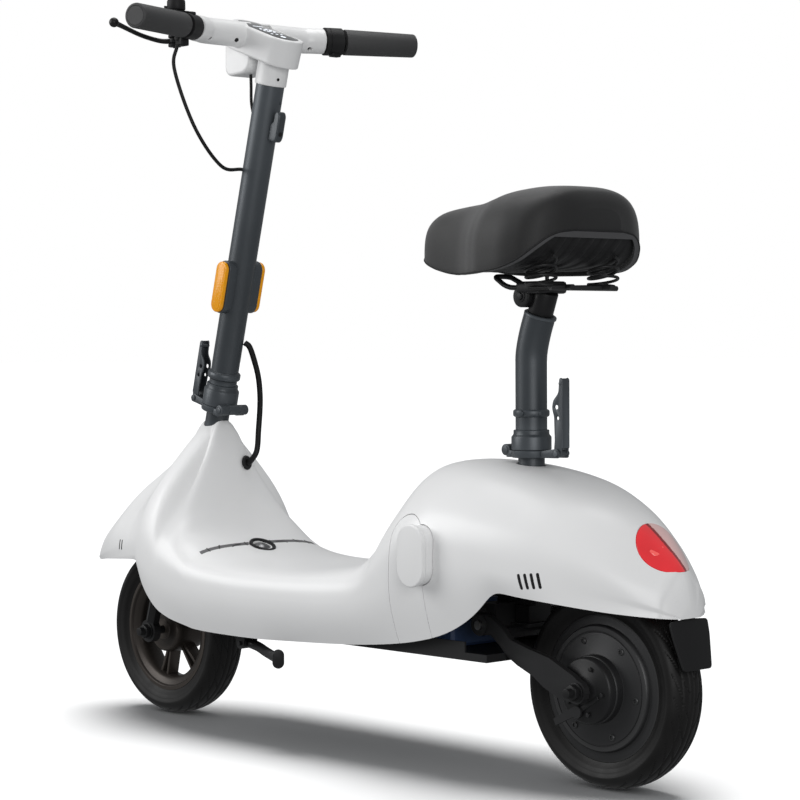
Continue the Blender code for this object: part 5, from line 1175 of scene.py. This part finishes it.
grip("grip_left_fine", grip_at, grip_turn, 0.0176, "stem", "grip_left")
grip("throttle_grip_fine", throttle_at, throttle_turn, 0.019, "throttle", "throttle_grip")
collar_at, collar_turn = bar_frame(2, 0.66, -1)
ring_parts = [turned("ring", ((0.0114, 0.0135), (0.0198, 0.0135), (0.0205, 0.0128), (0.0205, -0.006),
    (0.0199, -0.0066), (0.0199, -0.0074), (0.0205, -0.008), (0.0205, -0.0128), (0.0198, -0.0135),
    (0.0114, -0.0135)), at=collar_at, turn=collar_turn)]
ring_parts.append(box("clamp_lug", (0.01, 0.016, 0.006), 0.0012, at=collar_at + Vector((-0.006, 0, -0.02))))
fit(join("throttle_housing_fine", *ring_parts), "stem", "black_plastic", "throttle_housing")
LEVER_PIVOT = Vector((perch_at.x + 0.03, perch_at.y + 0.002, perch_at.z - 0.018))
perch_parts = [turned("perch", mirrored(((0.0114, 0.0125), (0.0172, 0.0125), (0.0178, 0.0119))),
    at=perch_at, turn=perch_turn), tube("perch_arm", smooth_path([perch_at + Vector((0.01, 0.002, -0.006)),
    LEVER_PIVOT + Vector((-0.012, 0, 0))], 6), 0.0092, 24), rod("fork_top", 0.0092, 0.0044, bevel=0.001,
    at=LEVER_PIVOT + Vector((0, 0, 0.0063))), rod("fork_low", 0.0092, 0.0044, bevel=0.001,
    at=LEVER_PIVOT + Vector((0, 0, -0.0063))), box("fork_web", (0.016, 0.014, 0.017), 0.002,
    at=LEVER_PIVOT + Vector((-0.0165, 0, 0))), rod("lever_pin", 0.0026, 0.02, bevel=0.0004, at=LEVER_PIVOT),
    turned("switch", ((0.0056, 0.0015), (0.0064, 0.0015), (0.007, 0.0008), (0.0072, -0.004),
    (0.0056, -0.004)), 48, at=perch_at + Vector((-0.002, -0.002, 0.0184))),
    box("bell_post", (0.012, 0.005, 0.006), 0.0008, at=perch_at + Vector((0.002, 0.0082, 0.017))),
    box("bell_bracket", (0.032, 0.026, 0.0018), 0.0006, at=perch_at + Vector((0.007, 0.0188, 0.019)))]
fit(join("brake_perch_fine", *perch_parts), "stem", "black_plastic", "brake_perch")
lever_line = smooth_path([LEVER_PIVOT, LEVER_PIVOT + Vector((0.012, 0.016, 0.0)),
    LEVER_PIVOT + Vector((0.018, 0.045, 0.006)), LEVER_PIVOT + Vector((0.008, 0.085, 0.014)),
    LEVER_PIVOT + Vector((0.001, 0.104, 0.017))], 40)
lever_parts = [tube("lever", lever_line, [0.004 - 0.0008 * sin(pi * i / 39) for i in range(40)], 24),
    rod("eye", 0.008, 0.0068, bevel=0.001, at=LEVER_PIVOT), turned("ball",
    [(0.0068 * sin(pi * k / 16) + 1e-9 * (k % 16 == 0), 0.0068 * cos(pi * k / 16)) for k in range(17)], 40,
    at=LEVER_PIVOT + Vector((0.0005, 0.1058, 0.0172)))]
fit(join("brake_lever_fine", *lever_parts), "brake_handle", "black_steel", "brake_lever")
BELL_AT = perch_at + Vector((0.002, 0.021, 0.0304))
bell_parts = [turned("bell", ((0.0, 0.008), (0.006, 0.0078), (0.0096, 0.0068), (0.0118, 0.005),
    (0.0128, 0.0024), (0.013, -0.0082), (0.0124, -0.0092), (0.011, -0.01), (0.0, -0.01)), 72, at=BELL_AT)]
fit(join("bell_fine", *bell_parts), "stem", "black_plastic", "bell")
button = turned("button", ((0.0, 0.0019), (0.0036, 0.0017), (0.0046, 0.001), (0.005, 0.0), (0.005, -0.002),
    (0.0, -0.002)), 40, at=perch_at + Vector((-0.002, -0.002, 0.0188)))
fit(join("horn_button_fine", button), "horn", "black_plastic", "horn_button")

# ---------------------------------------------------------------- seat post, clamp, rails
post_line = [place(SEAT_POST_X, 0, z) for z in np.linspace(0.4448, 0.52,
    8)[:-1]] + smooth_path([place(SEAT_POST_X, 0, 0.52), place(SEAT_POST_X - 0.0008, 0, 0.543),
    place(0.1335, 0, 0.568), place(0.1245, 0, 0.5925)], 28)
post_parts = [tube("post", post_line, STEM_RADIUS, 64), turned("ring",
    ((0.017, 0.471), (0.0215, 0.4708), (0.0232, 0.4695), (0.0236, 0.468), (0.0236, 0.464), (0.0232, 0.4625),
    (0.0215, 0.4612), (0.017, 0.461)), at=place(SEAT_POST_X, 0, 0)),
    turned("lip", ((0.017, 0.0035), (0.0206, 0.0035), (0.0214, 0.0028), (0.0214, 0.0), (0.0205, -0.0008),
    (0.017, -0.0008)), 64, at=place(0.1245, 0, 0.59), turn=SADDLE_TILT)]
for turn_about in (165, 100):
    a = radians(turn_about)
    post_parts.append(rod("ring_screw", 0.004, 0.005, sides=6 if turn_about == 165 else 32, bevel=0.0006,
        at=place(SEAT_POST_X + 0.0236 * cos(a), 0.0236 * sin(a), 0.466),
        turn=Vector((cos(a), sin(a), 0)).to_track_quat("Z", "Y").to_euler()))
fit(join("seat_post_fine", *post_parts), "seat", "slate_paint", "seat_post")
clamp_parts = [rod("clamp_post", 0.0166, 0.03, bevel=0.001, at=place(0.119, 0, 0.6078), turn=SADDLE_TILT),
    box("clamp_head", (0.044, 0.052, 0.016), 0.004, at=place(0.122, 0, 0.627)),
    rod("clamp_ears", 0.0142, 0.048, bevel=0.002, at=place(0.136, 0, 0.616), turn=ALONG_Y),
    rod("clamp_bolt", 0.005, 0.054, sides=6, bevel=0.0005, at=place(0.136, 0, 0.616), turn=ALONG_Y),
    rod("clamp_stud", 0.0026, 0.02, bevel=0.0004, at=place(0.112, 0, 0.637))]
for hand in (1, -1):
    clamp_parts.append(rod("clamp_washer", 0.0078, 0.025, bevel=0.0005,
        at=place(0.136, 0.0125 * hand, 0.616), turn=ALONG_Y))
fit(join("seat_clamp_fine", *clamp_parts), "seat", "black_steel", "seat_clamp")
RAIL_WIRE = 0.0034
rail_loop = [place(0.034, 0.036, 0.626), place(0.14, 0.02, 0.627), place(0.164, 0.019, 0.6292),
    place(0.18, 0.017, 0.6365), place(0.19, 0.012, 0.642)]
rail_parts = [tube("rail", smooth_path(rail_loop + [Vector((p.x, -p.y, p.z)) for p in rail_loop[::-1]], 90),
    RAIL_WIRE, 20), tube("bridge", [place(0.049, -0.062, 0.625), place(0.049, 0.062, 0.625)], RAIL_WIRE, 20)]
SPRING_AT, SPRING_RADIUS = (0.068, 0.058), 0.019
for hand in (1, -1):
    turns = [place(SPRING_AT[0] - SPRING_RADIUS * cos(a), SPRING_AT[1] * hand + SPRING_RADIUS * sin(a),
        0.6278 + (0.029 + 0.0085 * cos(a)) * a / (6 * pi)) for a in np.linspace(0, 6 * pi, 140)]
    rail_parts.append(tube("spring", turns, 0.002, 12))
fit(join("saddle_rails_fine", *rail_parts), "seat", "black_steel", "saddle_rails")


# ---------------------------------------------------------------- saddle
SADDLE_TAIL, SADDLE_LENGTH = 0.021, 0.288
SADDLE_WIDTH = ((0, 0.04), (0.02, 0.07), (0.07, 0.098), (0.14, 0.112), (0.24, 0.119), (0.34, 0.117),
    (0.45, 0.102), (0.55, 0.084), (0.65, 0.069), (0.75, 0.06), (0.85, 0.054), (0.93, 0.045), (0.98, 0.031),
    (1, 0.014))
SADDLE_RIM = ((0, 0.697), (0.02, 0.693), (0.07, 0.676), (0.14, 0.659), (0.24, 0.649), (0.34, 0.646),
    (0.45, 0.645), (0.6, 0.645), (0.7, 0.647), (0.8, 0.652), (0.9, 0.66), (1, 0.672))
SADDLE_TOP = ((0, 0.724), (0.01, 0.735), (0.04, 0.7475), (0.1, 0.753), (0.18, 0.754), (0.3, 0.752),
    (0.45, 0.745), (0.6, 0.7385), (0.75, 0.735), (0.86, 0.731), (0.93, 0.724), (0.98, 0.712), (1, 0.696))


def saddle_rim(u):
    return line(SADDLE_RIM, u)


def saddle_piece(name, inset, low, high, rows=90, flat=20, across=44, shoulder=0.66, ribs=0.0):
    """A closed body over the saddle's outline, flat below; a smaller shoulder is squarer."""
    bm = bmesh.new()
    loops = []
    for i in range(rows):
        u = 0.5 - 0.5 * cos(pi * i / (rows - 1))
        x = SADDLE_TAIL + inset + (SADDLE_LENGTH - 2 * inset) * u
        u = (x - SADDLE_TAIL) / SADDLE_LENGTH
        width = max(line(SADDLE_WIDTH, u) - inset, 0.004)
        bottom, top = low(u), high(u)
        loop = []
        for k in range(flat + 1):
            y = width * (1 - 2 * k / flat)
            ridge = ribs * max(cos(y * 2 * pi / 0.026), 0) ** 0.5 * (1 - abs(y / width) ** 6) if ribs else 0
            loop.append(bm.verts.new(place(x, y, bottom - ridge)))
        for k in range(1, 2 * across):
            a = pi * k / (2 * across)
            y = -width * abs(cos(a)) ** shoulder * (1 if cos(a) >= 0 else -1)
            loop.append(bm.verts.new(place(x, y, bottom + (top - bottom) * sin(a) ** shoulder)))
        loops.append(loop)
    count = len(loops[0])
    for one, two in zip(loops, loops[1:]):
        for k in range(count):
            bm.faces.new((one[k], one[(k + 1) % count], two[(k + 1) % count], two[k]))
    bm.faces.new(loops[0])
    bm.faces.new(loops[-1])
    return from_bmesh(name, bm)


cushion = saddle_piece("saddle_cushion", 0.0, saddle_rim, lambda u: line(SADDLE_TOP, u))
cushion = cut(cushion, saddle_piece("pocket", 0.011, lambda u: saddle_rim(u) - 0.02,
    lambda u: saddle_rim(u) + 0.009, flat=4, across=12, shoulder=0.12), angle=46)
cushion = soften(cushion, 0.0022, 4, 40)
cushion = fit(cushion, "seat", "vinyl", "saddle")
pan = saddle_piece("pan", 0.0135, lambda u: saddle_rim(u) + 0.005, lambda u: saddle_rim(u) + 0.0075,
    flat=160, across=8, shoulder=0.12, ribs=0.0022)
fit(join("saddle_pan_fine", pan), "seat", "black_plastic", "saddle_pan")

# The hem turned under the cushion's edge, and the piping along it
hem_parts = []
for hand in (1, -1):
    edge = []
    for i in range(121):
        u = 0.5 - 0.5 * cos(pi * i / 120)
        edge.append(place(SADDLE_TAIL + SADDLE_LENGTH * u, line(SADDLE_WIDTH, u) * hand, saddle_rim(u)))
    hem_parts.append(edge)
ring = hem_parts[0] + hem_parts[1][::-1]
inner = []
for p in ring:
    u = (p.x - REAR_AXLE_X - SADDLE_TAIL) / SADDLE_LENGTH
    v = min(max(u, 0.036), 0.964)
    y = max(line(SADDLE_WIDTH, v) - 0.01, 0.003) * (1 if p.y > 0 else -1)
    inner.append(place(SADDLE_TAIL + SADDLE_LENGTH * v, y, saddle_rim(v)))
bm = bmesh.new()
down = Vector((0, 0, 0.0003))
outer_verts = [bm.verts.new(p.lerp(q, 0.18) - down) for p, q in zip(ring, inner)]
inner_verts = [bm.verts.new(q - down) for q in inner]
for k in range(len(ring)):
    n = (k + 1) % len(ring)
    bm.faces.new((outer_verts[k], outer_verts[n], inner_verts[n], inner_verts[k]))
hem = from_bmesh("hem", bm)
wall = hem.modifiers.new("wall", "SOLIDIFY")
wall.thickness = 0.0008
fit(settle(hem), "seat", "vinyl", finish="hem")
piping = [p.lerp(q, 0.04) - Vector((0, 0, 0.0002)) for p, q in zip(ring, inner)]
piping = [p for p, q in zip(piping, piping[1:] + piping[:1]) if (p - q).length > 0.0004]
fit(join("saddle_piping", tube("piping", piping + piping[:1], 0.0013, 10)), "seat", "vinyl",
    finish="black_plastic")

# CAD pieces shown as they are, with their edges rounded
for name, width in (("swingarm", 0.0016), ("battery_tray", 0.001), ("fork", 0.001),
        ("kickstand_bracket", 0.0006), ("brake_arm", 0.0006), ("cable_grommet", 0.0004),
        ("bell_striker", 0.0004)):
    soften(frame["nodes"][name], width, 2, 50)

# ---------------------------------------------------------------- tail lamp
lamp_rows = body_grid(span((-0.124, -0.026, 0.0024)))
lens = skin("lens", eased(lamp_rows, 3), 0.0045)
lens_rod = rod("lens_edge", LAMP_RADIUS, 0.07, sides=128, at=LAMP_SPOT, turn=LAMP_TURN)
lens = boolean(lens, "INTERSECT", lens_rod, angle=50)


def lamp_zone(low, high):
    """The slice of the lens between two distances to the left."""
    return box("zone", (0.2, high - low, 0.2), at=place(LAMP_AT[0], (low + high) / 2, LAMP_AT[1]),
        turn=(radians(-12), 0, 0))


# The right-hand zone of the lens is painted pale pink: partly a paler section of lens, partly a painted
# highlight.
zones = (("tail_lamp_fine", 0.0005, 0.08, None), ("tail_lamp_rim", -0.0055, 0.0003, "red_deep"),
    ("tail_lamp_side", -0.08, -0.0057, "pink_lens_and_highlight"))
for name, low, high, tone in zones:
    piece = boolean(copy_of(lens), "INTERSECT", lamp_zone(low, high), angle=50)
    fit(join(name, piece), "frame", "red_lens", *(["tail_lamp"] if tone is None else []), finish=tone)
bpy.data.objects.remove(lens, do_unlink=True)
for k, (radius, tone) in enumerate(((0.0125, "red_glow"), (0.0062, "red_lens"))):
    bowl = turned("bowl", ((0.0, 0.001), (radius * 0.7, 0.0008), (radius * 0.92, 0.0003), (radius, -0.0008),
        (radius, -0.003), (0.0, -0.003)), 64)
    bowl.location = place(LAMP_AT[0], 0.016, LAMP_AT[1]) + Vector((sin(LAMP_TILT), 0,
        cos(LAMP_TILT))) * (0.0002 + 0.0004 * k)
    bowl.rotation_euler = (radians(-14), LAMP_TILT, 0)
    fit(join(f"tail_lamp_bowl_{k}", bowl), "frame", "red_lens", finish=tone)

flap_side = [(0.0355, 0.018), (0.0345, 0.0), (0.03, -0.024), (0.0262, -0.043)]
flap = plate("flap", rounded([(0.011, 0.025), (0.011, 0.0196)] + flap_side + [(-x, z) for x,
    z in flap_side[::-1]] + [(-0.011, 0.0196), (-0.011, 0.025)], 0.005, 6), 0.003, 0.0007,
    at=place(-0.1235, 0, 0.202), turn=(radians(76), 0, -pi / 2))
fit(join("mudflap_fine", flap), "frame", "black_plastic", "mudflap")

# ---------------------------------------------------------------- swingarm, kickstand
kx, ky, kz = 0.606, 0.092, 0.137
leg_line = smooth_path([place(kx - 0.004, ky, kz), place(kx - 0.03, ky + 0.004, kz - 0.003),
    place(kx - 0.075, ky + 0.026, kz - 0.005), place(kx - 0.131, ky + 0.054, kz - 0.006)], 30)
leg_parts = [tube("leg", leg_line, 0.0068, 32), rod("eye", 0.0082, 0.017, bevel=0.0008, turn=ALONG_Y,
    at=place(kx, ky, kz)), plate("foot", stadium(0, 0, 0.016, 0.026), 0.005, 0.0012,
    at=place(kx - 0.1325, ky + 0.0548, kz - 0.006), turn=(pi / 2, 0, radians(64)))]
fit(join("kickstand_leg_fine", *leg_parts), "kickstand", "black_steel", "kickstand_leg")
